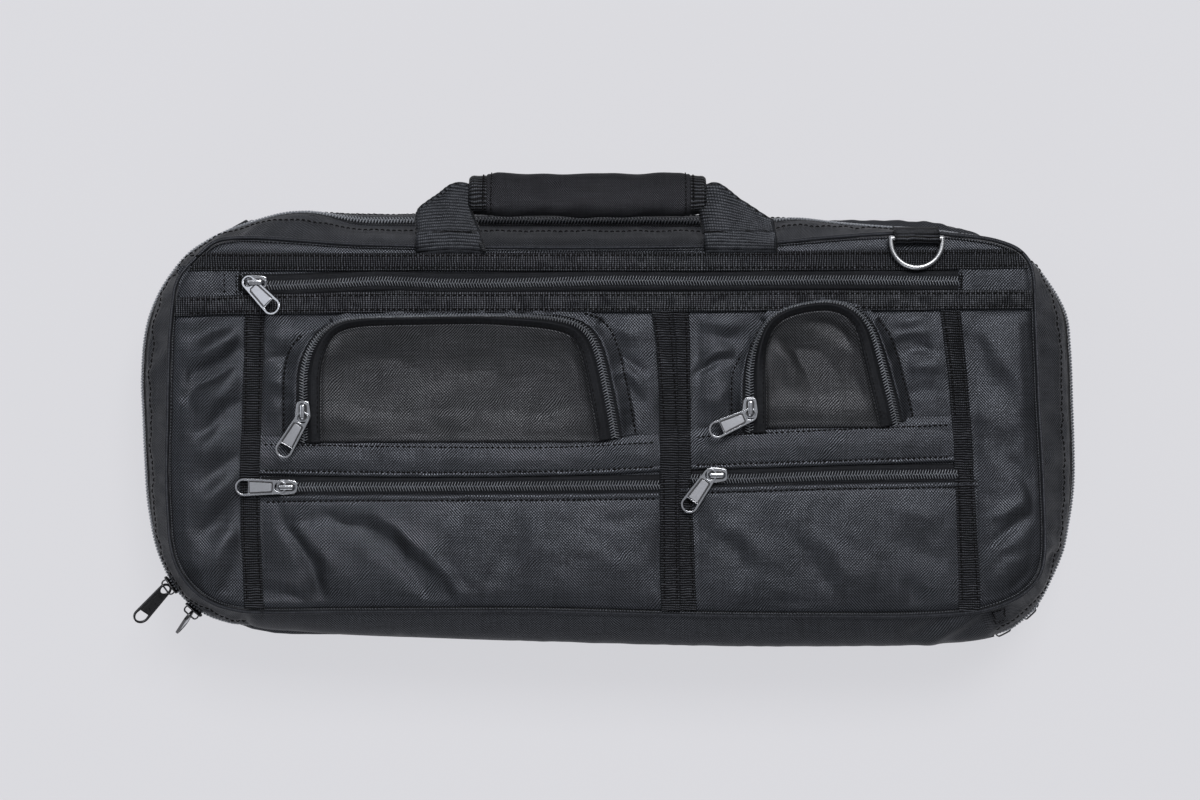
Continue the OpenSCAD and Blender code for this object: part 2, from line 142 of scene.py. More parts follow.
# ---------------------------------------------------------------- meshes
class Batch:
    """Collects grids, tubes and repeated small shapes into one mesh."""

    def __init__(self):
        self.V, self.F, self.U, self.n = [], [], [], 0

    def add(self, V, faces, uv=None):
        V = np.asarray(V, float).reshape(-1, 3)
        for f in faces:
            f = np.asarray(f)
            if f.size:
                self.F.append(f + self.n)
        self.V.append(V)
        self.U.append(V[:, :2].copy() if uv is None else np.asarray(uv, float).reshape(-1, 2))
        self.n += len(V)
        return self

    def grid(self, G, uv=None, cu=False, cv=False, flip=False):
        n, m = G.shape[:2]
        I = np.arange(n * m).reshape(n, m)
        if cu:
            I = np.vstack([I, I[:1]])
        if cv:
            I = np.hstack([I, I[:, :1]])
        q = np.stack([I[:-1, :-1], I[1:, :-1], I[1:, 1:], I[:-1, 1:]], -1).reshape(-1, 4)
        if flip:
            q = q[:, ::-1]
        return self.add(G.reshape(-1, 3), [q], uv)

    def tube(self, P, r, k=8, closed=False, cap=True, up=(0, 0, 1), flat=1.0):
        P = np.asarray(P, float)
        T = tangent(P, closed)
        U = np.broadcast_to(np.asarray(up, float), P.shape)
        B = unit(np.cross(U, T))
        N = np.cross(T, B)
        r = np.broadcast_to(np.asarray(r, float), (len(P),))
        a = np.arange(k) * 2 * np.pi / k
        G = (P[:, None] + r[:, None, None] * (np.cos(a)[None, :, None] * B[:, None]
             + flat * np.sin(a)[None, :, None] * N[:, None]))
        s = arclen(P)[: len(P)]
        uv = np.stack(np.broadcast_arrays(s[:, None], (a * r.mean())[None, :]), -1)
        b0 = self.n
        self.grid(G, uv, cu=closed, cv=True)
        if cap and not closed:
            self.F.append(np.arange(k)[None, ::-1] + b0)
            self.F.append(np.arange(k)[None] + b0 + (len(P) - 1) * k)
        return self

    def copies(self, T, faces, C, A, B, N, uv=None):
        T, C = np.asarray(T, float), np.asarray(C, float)
        W = (C[:, None] + T[None, :, 0:1] * A[:, None] + T[None, :, 1:2] * B[:, None]
             + T[None, :, 2:3] * N[:, None])
        n, m = len(C), len(T)
        off = (np.arange(n) * m)[:, None, None]
        fs = [(np.asarray(f)[None] + off).reshape(-1, np.asarray(f).shape[1]) for f in faces]
        u = np.broadcast_to(T[None, :, :2], (n, m, 2)) if uv is None else uv
        return self.add(W, fs, u)

    def make(self, name, mat, body=None, slot=None, nodes=(), smooth=True, solid=0.0, off=-1.0, auto=None):
        V = np.vstack(self.V) * 0.001
        U = np.vstack(self.U)
        me = bpy.data.meshes.new(name)
        me.vertices.add(len(V))
        me.vertices.foreach_set("co", V.astype(np.float32).ravel())
        idx = np.concatenate([f.ravel() for f in self.F]).astype(np.int32)
        tot = np.concatenate([np.full(len(f), f.shape[1]) for f in self.F])
        start = np.concatenate([[0], np.cumsum(tot)[:-1]]).astype(np.int32)
        me.loops.add(len(idx))
        me.loops.foreach_set("vertex_index", idx)
        me.polygons.add(len(tot))
        me.polygons.foreach_set("loop_start", start)
        me.update(calc_edges=True)
        lay = me.uv_layers.new(name="cloth")
        lay.data.foreach_set("uv", U[idx].astype(np.float32).ravel())
        me.polygons.foreach_set("use_smooth", np.full(len(tot), bool(smooth)))
        me.update()
        me.validate()
        me.materials.append(mat)
        if auto is not None:
            me.set_sharp_from_angle(angle=math.radians(auto))
        o = bpy.data.objects.new(name, me)
        bpy.context.scene.collection.objects.link(o)
        if solid:
            md = o.modifiers.new("thickness", "SOLIDIFY")
            md.thickness, md.offset = solid * 0.001, off
        if body:
            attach(o, body)
        if nodes:
            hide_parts(*nodes)
        return o


def outline_mesh(loops, half, bevel=0.0, res=2):
    """Flat plate from closed 2-D loops (the first is the outer one), with
    rounded edges; millimetres, centred on z = 0. Returns (V, faces)."""
    cu = bpy.data.curves.new("plate", "CURVE")
    cu.dimensions = "2D"
    cu.fill_mode = "BOTH"
    cu.extrude = max(half - bevel, 0.0)
    cu.bevel_depth = bevel
    cu.bevel_resolution = res
    cu.offset = -bevel
    for L in loops:
        sp = cu.splines.new("POLY")
        sp.points.add(len(L) - 1)
        for p, q in zip(sp.points, L):
            p.co = (q[0], q[1], 0, 1)
        sp.use_cyclic_u = True
    o = bpy.data.objects.new("plate", cu)
    bpy.context.scene.collection.objects.link(o)
    me = bpy.data.meshes.new_from_object(o.evaluated_get(bpy.context.evaluated_depsgraph_get()))
    V = np.array([v.co for v in me.vertices], float).reshape(-1, 3)
    by = {}
    for p in me.polygons:
        by.setdefault(len(p.vertices), []).append(list(p.vertices))
    faces = [np.array(f) for f in by.values()]
    bpy.data.objects.remove(o)
    bpy.data.curves.remove(cu)
    bpy.data.meshes.remove(me)
    return V, faces


def round_rect(w, h, r, n=6, cx=0.0, cy=0.0):
    out = []
    for k, (sx, sy) in enumerate([(1, 1), (-1, 1), (-1, -1), (1, -1)]):
        for a in np.linspace(k * 90, k * 90 + 90, n):
            out.append((cx + sx * (w / 2 - r) + r * math.cos(math.radians(a)),
                        cy + sy * (h / 2 - r) + r * math.sin(math.radians(a))))
    return out


def circle(r, cx=0.0, cy=0.0, n=28):
    return [(cx + r * math.cos(2 * math.pi * i / n), cy + r * math.sin(2 * math.pi * i / n)) for i in range(n)]


def rot(axis, deg):
    a = math.radians(deg)
    c, s = math.cos(a), math.sin(a)
    return {"x": np.array([[1, 0, 0], [0, c, -s], [0, s, c]]),
            "y": np.array([[c, 0, s], [0, 1, 0], [-s, 0, c]]),
            "z": np.array([[c, -s, 0], [s, c, 0], [0, 0, 1]])}[axis]


class Place:
    """Chain of moves, written in the order the CAD source writes them."""

    def __init__(self, M=None, t=None):
        self.M = np.eye(3) if M is None else M
        self.t = np.zeros(3) if t is None else np.asarray(t, float)

    def move(self, x, y, z):
        return Place(self.M, self.t + self.M @ np.array([x, y, z], float))

    def turn(self, *steps):
        M = self.M
        for axis, deg in steps:
            M = M @ rot(axis, deg)
        return Place(M, self.t)

    def __call__(self, V):
        return np.asarray(V, float) @ self.M.T + self.t


# ------------------------------------------------------------- materials
class Nodes:
    def __init__(self, name):
        self.m = bpy.data.materials.new(name)
        self.m.use_nodes = True
        self.t = self.m.node_tree
        self.t.nodes.clear()
        self.out = self.t.nodes.new("ShaderNodeOutputMaterial")
        self.b = self.t.nodes.new("ShaderNodeBsdfPrincipled")
        self.t.links.new(self.b.outputs[0], self.out.inputs[0])

    def new(self, kind, **kw):
        n = self.t.nodes.new(kind)
        for k, v in kw.items():
            setattr(n, k, v)
        return n

    def put(self, sock, v):
        if isinstance(v, bpy.types.NodeSocket):
            self.t.links.new(v, sock)
        elif isinstance(v, (tuple, list)) and len(v) == 3 and sock.type == "RGBA":
            sock.default_value = (*v, 1)
        else:
            sock.default_value = v

    def math(self, op, a, b=0.0, c=0.0):
        n = self.new("ShaderNodeMath", operation=op)
        for k, v in enumerate((a, b, c)):
            self.put(n.inputs[k], v)
        return n.outputs[0]

    def add(self, a, b): return self.math("ADD", a, b)
    def sub(self, a, b): return self.math("SUBTRACT", a, b)
    def mul(self, a, b): return self.math("MULTIPLY", a, b)
    def cos(self, a): return self.math("COSINE", a)
    def mad(self, a, b, c): return self.math("MULTIPLY_ADD", a, b, c)

    def rng(self, x, a, b, c, d, smooth=True):
        n = self.new("ShaderNodeMapRange", interpolation_type="SMOOTHSTEP" if smooth else "LINEAR")
        for k, v in enumerate((x, a, b, c, d)):
            self.put(n.inputs[k], v)
        return n.outputs[0]

    def xyz(self, x, y, z=0.0):
        n = self.new("ShaderNodeCombineXYZ")
        for k, v in enumerate((x, y, z)):
            self.put(n.inputs[k], v)
        return n.outputs[0]

    def uv(self):
        n = self.new("ShaderNodeUVMap", uv_map="cloth")
        s = self.new("ShaderNodeSeparateXYZ")
        self.t.links.new(n.outputs[0], s.inputs[0])
        return n.outputs[0], s.outputs[0], s.outputs[1]

    def obj(self, scale=1000.0):
        n = self.new("ShaderNodeTexCoord")
        v = self.new("ShaderNodeVectorMath", operation="SCALE")
        self.t.links.new(n.outputs["Object"], v.inputs[0])
        v.inputs["Scale"].default_value = scale
        return v.outputs[0]

    def noise(self, vec, scale, detail=2.0, rough=0.5, lo=None, hi=None):
        n = self.new("ShaderNodeTexNoise")
        self.put(n.inputs["Vector"], vec)
        n.inputs["Scale"].default_value = scale
        n.inputs["Detail"].default_value = detail
        n.inputs["Roughness"].default_value = rough
        f = n.outputs["Fac"]
        return f if lo is None else self.rng(f, 0.3, 0.7, lo, hi, False)

    def tint(self, fac, dark, light):
        n = self.new("ShaderNodeMix", data_type="RGBA")
        self.put(n.inputs[0], fac)
        self.put(n.inputs[6], dark)
        self.put(n.inputs[7], light)
        return n.outputs[2]

    def bump(self, h, dist, strength=1.0, prev=None):
        n = self.new("ShaderNodeBump")
        n.inputs["Strength"].default_value = strength
        n.inputs["Distance"].default_value = dist
        self.put(n.inputs["Height"], h)
        if prev is not None:
            self.put(n.inputs["Normal"], prev)
        return n.outputs[0]

    def set(self, **kw):
        names = {"color": "Base Color", "rough": "Roughness", "metal": "Metallic", "normal": "Normal",
                 "sheen": "Sheen Weight", "sheen_rough": "Sheen Roughness", "ior": "IOR",
                 "spec": "Specular IOR Level", "coat": "Coat Weight", "coat_rough": "Coat Roughness"}
        for k, v in kw.items():
            self.put(self.b.inputs[names[k]], v)
        return self.m


def scaled(c, k):
    return tuple(x * k for x in c)


def cloth_material(name, base, weave=0.9, p=(0.78, 0.85), rough=0.5, sheen=0.04, patchy=0.16, bump=0.00017):
    """Plain-weave nylon: the weave reads as a fine diagonal hatch whose
    direction drifts over the cloth; the dark gaps between yarn crossings
    are painted shade, over the yarns' own random tone."""
    n = Nodes(name)
    vec, u, v = n.uv()
    wob = n.noise(vec, 0.09, 2.0)
    wob2 = n.noise(vec, 0.35, 1.0)
    u2 = n.add(u, n.mad(wob, 2.4, n.mul(wob2, 0.35)))
    v2 = n.sub(v, n.mad(wob, 2.1, n.mul(wob2, 0.3)))
    a, b = n.mul(u2, math.pi / p[0]), n.mul(v2, math.pi / p[1])
    lean = n.noise(vec, 0.028, 2.0, 0.5, -0.75, 0.75)
    c1 = n.mul(n.cos(n.sub(a, b)), n.add(lean, 1.0))
    c2 = n.mul(n.cos(n.add(a, b)), n.sub(1.0, lean))
    w = n.mad(n.sub(c1, c2), 0.25, 0.5)
    yarn_u = n.noise(n.xyz(n.mul(u, 0.05), n.mul(v, 1.1)), 1.0, 2.0, 0.6, 0.82, 1.2)
    yarn_v = n.noise(n.xyz(n.mul(u, 1.1), n.mul(v, 0.05)), 1.0, 2.0, 0.6, 0.85, 1.18)
    patch = n.noise(vec, 0.03, 3.0, 0.55, 1 - patchy, 1 + patchy)
    grit = n.noise(vec, 1.7, 2.0, 0.7, 0.82, 1.2)
    k = n.mul(n.mul(yarn_u, yarn_v), n.mul(patch, grit))
    # painted shade: the colour, and with it the gloss since the cloth is set metallic, darkens in the gaps between yarn
    # crossings
    k = n.mul(k, n.rng(w, 0.05, 0.95, 1 - weave, 1 + weave))
    mixn = n.new("ShaderNodeVectorMath", operation="SCALE")
    mixn.inputs[0].default_value = base
    n.put(mixn.inputs["Scale"], k)
    nrm = n.bump(n.add(w, n.mul(grit, 0.35)), bump, 0.9)
    return n.set(color=mixn.outputs[0], rough=n.mul(n.rng(w, 0.1, 0.9, rough + 0.3, rough - 0.05), patch), normal=nrm,
                 sheen=sheen, sheen_rough=0.4, spec=0.5, metal=0.8)


def webbing_material(name, base, pitch=1.355, across=1.1, depth=0.5, rough=0.5, sheen=0.03, bump=0.00016):
    """Ribbed webbing: u runs along the strip, ribs lie across it; the grooves are darkened with painted shade."""
    n = Nodes(name)
    vec, u, v = n.uv()
    wob = n.noise(vec, 0.12, 2.0, 0.5, -0.35, 0.35)
    rib = n.mad(n.cos(n.mul(n.add(u, wob), 2 * math.pi / pitch)), 0.5, 0.5)
    yarn = n.mad(n.cos(n.mul(v, 2 * math.pi / across)), 0.5, 0.5)
    each = n.noise(n.xyz(n.mul(u, 1.0 / pitch), n.mul(v, 0.25)), 1.0, 2.0, 0.6, 0.78, 1.28)
    grit = n.noise(vec, 2.2, 2.0, 0.7, 0.8, 1.22)
    patch = n.noise(vec, 0.05, 3.0, 0.55, 0.86, 1.14)
    # painted shade: the colour, and with it the gloss, darkens in the grooves between ribs and between yarns
    k = n.mul(n.mul(each, grit), n.mul(patch, n.rng(rib, 0.0, 1.0, 1 - depth, 1 + depth)))
    k = n.mul(k, n.rng(yarn, 0, 1, 0.86, 1.1))
    sc = n.new("ShaderNodeVectorMath", operation="SCALE")
    sc.inputs[0].default_value = base
    n.put(sc.inputs["Scale"], k)
    nrm = n.bump(n.add(rib, n.mul(yarn, 0.35)), bump, 0.8)
    return n.set(color=sc.outputs[0], rough=rough, normal=nrm, sheen=sheen, sheen_rough=0.35, spec=0.45, metal=0.8)


def plain_material(name, base, rough=0.5, var=0.2, scale=0.4, bump=0.00006, metal=0.0, sheen=0.0, spec=0.5, coat=0.0):
    """Object-space variation for threads, coils, boards and metal."""
    n = Nodes(name)
    vec = n.obj()
    big = n.noise(vec, scale * 0.12, 2.0, 0.5, 1 - var, 1 + var)
    fine = n.noise(vec, scale * 3.0, 3.0, 0.65, 1 - var * 0.8, 1 + var * 0.8)
    sc = n.new("ShaderNodeVectorMath", operation="SCALE")
    sc.inputs[0].default_value = base
    n.put(sc.inputs["Scale"], n.mul(big, fine))
    nrm = n.bump(fine, bump, 0.5)
    return n.set(color=sc.outputs[0], rough=n.rng(fine, 0.8, 1.2, rough * 0.85, min(1.0, rough * 1.2)), normal=nrm,
                 metal=metal, sheen=sheen, spec=spec, coat=coat, coat_rough=0.15)


# nylon yarn: most of what is seen is its own gloss, broken up by the weave
CLOTH = cloth_material("nylon_cloth", (0.0322, 0.0349, 0.0420), rough=0.42)
CLOTH_FLAP = cloth_material("nylon_cloth_flap", (0.0345, 0.0358, 0.0400), rough=0.46)
# lighter copy of the nylon cloth for the walls: painted light, making up for the walls facing away from the lamps
CLOTH_SIDE_PAINTED_LIGHT = cloth_material("nylon_cloth_side_painted_light", (0.035, 0.0375, 0.0440), weave=0.8, patchy=0.12)
CLOTH_GRIP = cloth_material("nylon_cloth_grip", (0.0195, 0.0200, 0.0240), p=(0.55, 0.6), rough=0.6, patchy=0.1)
CLOTH_BACK = cloth_material("nylon_cloth_back", (0.033, 0.034, 0.039))
BAND = webbing_material("ribbon_webbing", (0.0190, 0.0202, 0.0240), depth=0.97, bump=0.00036)
STRAP = webbing_material("strap_webbing", (0.0150, 0.0162, 0.0192), pitch=1.87, across=1.25, depth=0.95, bump=0.00036)
PIPING = webbing_material("piping_tape", (0.028, 0.030, 0.036), pitch=0.9, across=0.9, depth=0.25)
# zip tape darker than the cloth: partly its own dark nylon, partly painted shade in the gaps between the teeth
TAPE_PAINTED_SHADE = webbing_material("zip_tape", (0.0135, 0.0145, 0.0175), pitch=0.62, across=0.8, depth=0.3, rough=0.6)
# the black nylon coil is given a mid-grey colour: painted highlight, standing in for the gloss of its teeth
COIL_PAINTED_HIGHLIGHT = plain_material("nylon_coil_painted_highlight", (0.225, 0.24, 0.27), rough=0.28, var=0.16, bump=0.00002, spec=0.9)
# black thread set far darker than the black cloth: painted shade, standing in for the shadows of the needle holes along
# each stitch
THREAD_PAINTED_SHADE = plain_material("thread", (0.0035, 0.0035, 0.004), rough=0.75, var=0.3, spec=0.12)
LINING = cloth_material("lining_cloth", (0.050, 0.052, 0.060), weave=0.25, p=(0.5, 0.5), rough=0.5, sheen=0.1, patchy=0.1)
ELASTIC = webbing_material("knit_elastic", (0.028, 0.028, 0.032), pitch=1.0, across=0.7, depth=0.4, rough=0.6)
BOARD = plain_material("stiff_board", (0.04, 0.04, 0.044), rough=0.6, var=0.12)
METAL = plain_material("bright_nickel", (0.39, 0.40, 0.43), rough=0.2, var=0.1, scale=0.3, bump=0.00001, metal=1.0)
DARK_METAL = plain_material("painted_metal", (0.075, 0.075, 0.080), rough=0.3, var=0.15, scale=0.3, bump=0.00001, metal=0.9)
PLATE = plain_material("nickel_face", (0.43, 0.44, 0.475), rough=0.3, var=0.08, scale=0.5, bump=0.00001, metal=1.0)
RING = plain_material("nickel_wire", (0.40, 0.41, 0.43), rough=0.34, var=0.1, scale=0.4, bump=0.00001, metal=1.0)

# ------------------------------------------------- camera, light, floor
cam = bpy.data.objects.new("camera", bpy.data.cameras.new("camera"))
cam.data.lens, cam.data.sensor_width = 70, 36
cam.data.sensor_fit = "HORIZONTAL"
cam.data.clip_start, cam.data.clip_end = 0.05, 20
cam.location = (-0.0045, 0.016, 1.377)
bpy.context.scene.collection.objects.link(cam)
bpy.context.scene.camera = cam
bpy.context.scene.view_settings.view_transform = "Standard"

world = bpy.data.worlds.new("studio")
bpy.context.scene.world = world
world.use_nodes = True
bg = world.node_tree.nodes["Background"]
bg.inputs[0].default_value = (0.955, 0.97, 1.0, 1)
# a room that is brighter overhead and to the upper right
_wt = world.node_tree
_dir = _wt.nodes.new("ShaderNodeTexCoord")
_dot = _wt.nodes.new("ShaderNodeVectorMath")
_dot.operation = "DOT_PRODUCT"
_dot.inputs[1].default_value = (0.07, 0.42, 0.905)
_pos = _wt.nodes.new("ShaderNodeMapRange")
_pos.inputs["From Min"].default_value, _pos.inputs["From Max"].default_value = 0.0, 1.0
_pow = _wt.nodes.new("ShaderNodeMath")
_pow.operation = "POWER"
_pow.inputs[1].default_value = 2.8
_mad = _wt.nodes.new("ShaderNodeMath")
_mad.operation = "MULTIPLY_ADD"
_mad.inputs[1].default_value, _mad.inputs[2].default_value = 0.54, 0.085
_wt.links.new(_dir.outputs["Generated"], _dot.inputs[0])
_wt.links.new(_dot.outputs["Value"], _pos.inputs["Value"])
_wt.links.new(_pos.outputs["Result"], _pow.inputs[0])
_wt.links.new(_pow.outputs[0], _mad.inputs[0])
_wt.links.new(_mad.outputs[0], bg.inputs[1])


def area(name, loc, size, power, color=(1, 1, 1), aim=(0, 0, 0.05)):
    L = bpy.data.lights.new(name, "AREA")
    L.shape, L.size, L.size_y = "RECTANGLE", size[0], size[1]
    L.energy, L.color = power, color
    o = bpy.data.objects.new(name, L)
    o.location = loc
    o.rotation_mode = "QUATERNION"
    o.rotation_quaternion = (Vector(aim) - Vector(loc)).to_track_quat("-Z", "Y")
    bpy.context.scene.collection.objects.link(o)


area("key", (0.5, 1.65, 3.15), (1.5, 1.2), 104, (1.0, 0.985, 0.965))
area("fill", (-1.9, 0.6, 1.7), (1.4, 1.4), 9, (0.95, 0.97, 1.0))
area("low_fill", (-0.3, -1.7, 1.1), (1.2, 1.0), 7, (0.97, 0.98, 1.0))


def paper_floor():
    n = Nodes("pale_paper")
    vec = n.obj()
    fib = n.noise(vec, 0.9, 4.0, 0.7, 0.985, 1.015)
    tone = n.noise(vec, 0.02, 2.0, 0.5, 0.995, 1.005)
    sc = n.new("ShaderNodeVectorMath", operation="SCALE")
    sc.inputs[0].default_value = (0.085, 0.085, 0.089)
    n.put(sc.inputs["Scale"], n.mul(fib, tone))
    n.set(color=sc.outputs[0], rough=0.9, normal=n.bump(fib, 0.00008, 0.5), spec=0.0)
    # back-lit paper, so that shadows stay faint
    n.b.inputs["Emission Color"].default_value = (0.985, 0.985, 1.03, 1)
    n.b.inputs["Emission Strength"].default_value = 0.625
    k = 40
    x = np.linspace(-3000, 3000, k)
    G = np.stack(np.meshgrid(x, x, indexing="ij") + [np.zeros((k, k))], -1)
    o = Batch().grid(G).make("floor", n.m)
    o.location.z = -0.00005


paper_floor()

# ======================================================================
# Height of the front fabric above its seam plane: pillows between the
# sewn-down ribbons, and the creases seen on the object.
# ======================================================================
GX, GY = np.arange(-262.0, 263.0), np.arange(-128.0, 129.0)
XX, YY = np.meshgrid(GX, GY, indexing="ij")


def smooth_noise(scale, seed, X=None, Y=None, octaves=3):
    """Seeded sum of waves, about -1 to 1, features about `scale` mm."""
    X = XX if X is None else X
    Y = YY if Y is None else Y
    r = np.random.default_rng(seed)
    out, norm = np.zeros(np.shape(X)), 0.0
    for o in range(octaves):
        for _ in range(7):
            a = r.uniform(0, 2 * np.pi)
            k = 2 * np.pi / (scale / 1.9**o) * r.uniform(0.6, 1.3)
            out = out + np.sin(k * (X * np.cos(a) + Y * np.sin(a)) + r.uniform(0, 6.28)) * 0.55**o
        norm += 0.55**o
    return out / (norm * 2.6)


def seg_field(P, X, Y):
    """Signed distance to a polyline and how far along it, 0 to 1."""
    best = np.full(X.shape, 1e9)
    sgn, along = np.zeros(X.shape), np.zeros(X.shape)
    L = np.concatenate([[0], np.cumsum(np.linalg.norm(np.diff(P, axis=0), axis=1))])
    for i in range(len(P) - 1):
        a, d = P[i], P[i + 1] - P[i]
        n2 = max(d @ d, 1e-9)
        raw = ((X - a[0]) * d[0] + (Y - a[1]) * d[1]) / n2
        t = np.clip(raw, 0, 1)
        dx, dy = X - a[0] - t * d[0], Y - a[1] - t * d[1]
        dist = np.hypot(dx, dy)
        m = dist < best
        best = np.where(m, dist, best)
        sgn = np.where(m, np.sign(d[0] * dy - d[1] * dx), sgn)
        along = np.where(m, (L[i] + t * math.sqrt(n2)) / L[-1], along)
    return best * np.where(sgn == 0, 1, sgn), best, along


def crease(F, points, amp, w, skew=0.0, taper=0.42, z=ZT, soft=1.0):
    """Adds one crease (amp > 0 a ridge, < 0 a valley) to field F."""
    P = pxs(points, z)
    if len(P) > 2:
        P = spline(np.hstack([P, np.zeros((len(P), 1))]), 8)[:, :2]
    lo, hi = P.min(0) - 5 * w - 3, P.max(0) + 5 * w + 3
    i0, i1 = np.searchsorted(GX, lo[0]), np.searchsorted(GX, hi[0])
    j0, j1 = np.searchsorted(GY, lo[1]), np.searchsorted(GY, hi[1])
    if i1 <= i0 or j1 <= j0:
        return
    X, Y = XX[i0:i1, j0:j1], YY[i0:i1, j0:j1]
    wx, wy = smooth_noise(34, 71, X, Y, 2), smooth_noise(30, 72, X, Y, 2)
    sd, d, t = seg_field(P, X + 1.6 * wx, Y + 1.6 * wy)
    w = w * (0.75 + 0.7 * t)
    g = np.exp(-np.abs(sd / w) ** (1.9 * soft))
    side = 1 + skew * np.tanh(sd / w)
    end = sstep(0, taper, t) * sstep(0, taper, 1 - t)
    end = np.maximum(end, 0.12 * np.exp(-(d / w) ** 2))
    F[i0:i1, j0:j1] += 1.8 * amp * g * side * end


def pillow(F, x0, x1, y0, y1, amp, edge=9.0):
    dx = np.minimum(XX - x0, x1 - XX)
    dy = np.minimum(YY - y0, y1 - YY)
    f = (1 - np.exp(-np.clip(dx, 0, None) / edge)) * (1 - np.exp(-np.clip(dy, 0, None) / edge))
    F += 1.15 * amp * f * (dx > 0) * (dy > 0)


def sample(F, x, y):
    """Smooth lookup of a field on the 1 mm grid."""
    fx = np.clip(np.asarray(x, float) - GX[0], 0, len(GX) - 1.001)
    fy = np.clip(np.asarray(y, float) - GY[0], 0, len(GY) - 1.001)
    i, j = fx.astype(int), fy.astype(int)
    a, b = fx - i, fy - j
    return (F[i, j] * (1 - a) * (1 - b) + F[i + 1, j] * a * (1 - b)
            + F[i, j + 1] * (1 - a) * b + F[i + 1, j + 1] * a * b)


H = np.zeros(XX.shape)
# pillows: left side panel, between the bands and pouches, right side panel
pillow(H, -241, -203, -98, 63, 2.6, 8)
pillow(H, -190, -174, -8, 63, 1.6, 6)
pillow(H, 6, 28.5, -8, 63, 1.8, 6)
pillow(H, 50, 70, 0, 63, 2.4, 6)
pillow(H, 164, 194, 0, 63, 2.2, 7)
pillow(H, 203, 237, -98, 63, 2.4, 8)
pillow(H, -240, -216, 63, 98, 1.2, 6)
pillow(H, 200, 237, 63, 98, 1.0, 6)
pillow(H, -190, 28.6, -97, -35, 2.2, 8)
pillow(H, 50, 193, -98, -29, 2.2, 8)
pillow(H, -230, 230, 97, 104, 0.7, 3)
H += 0.28 * smooth_noise(46, 3) + 0.09 * smooth_noise(15, 4) + 0.03 * smooth_noise(5, 5)
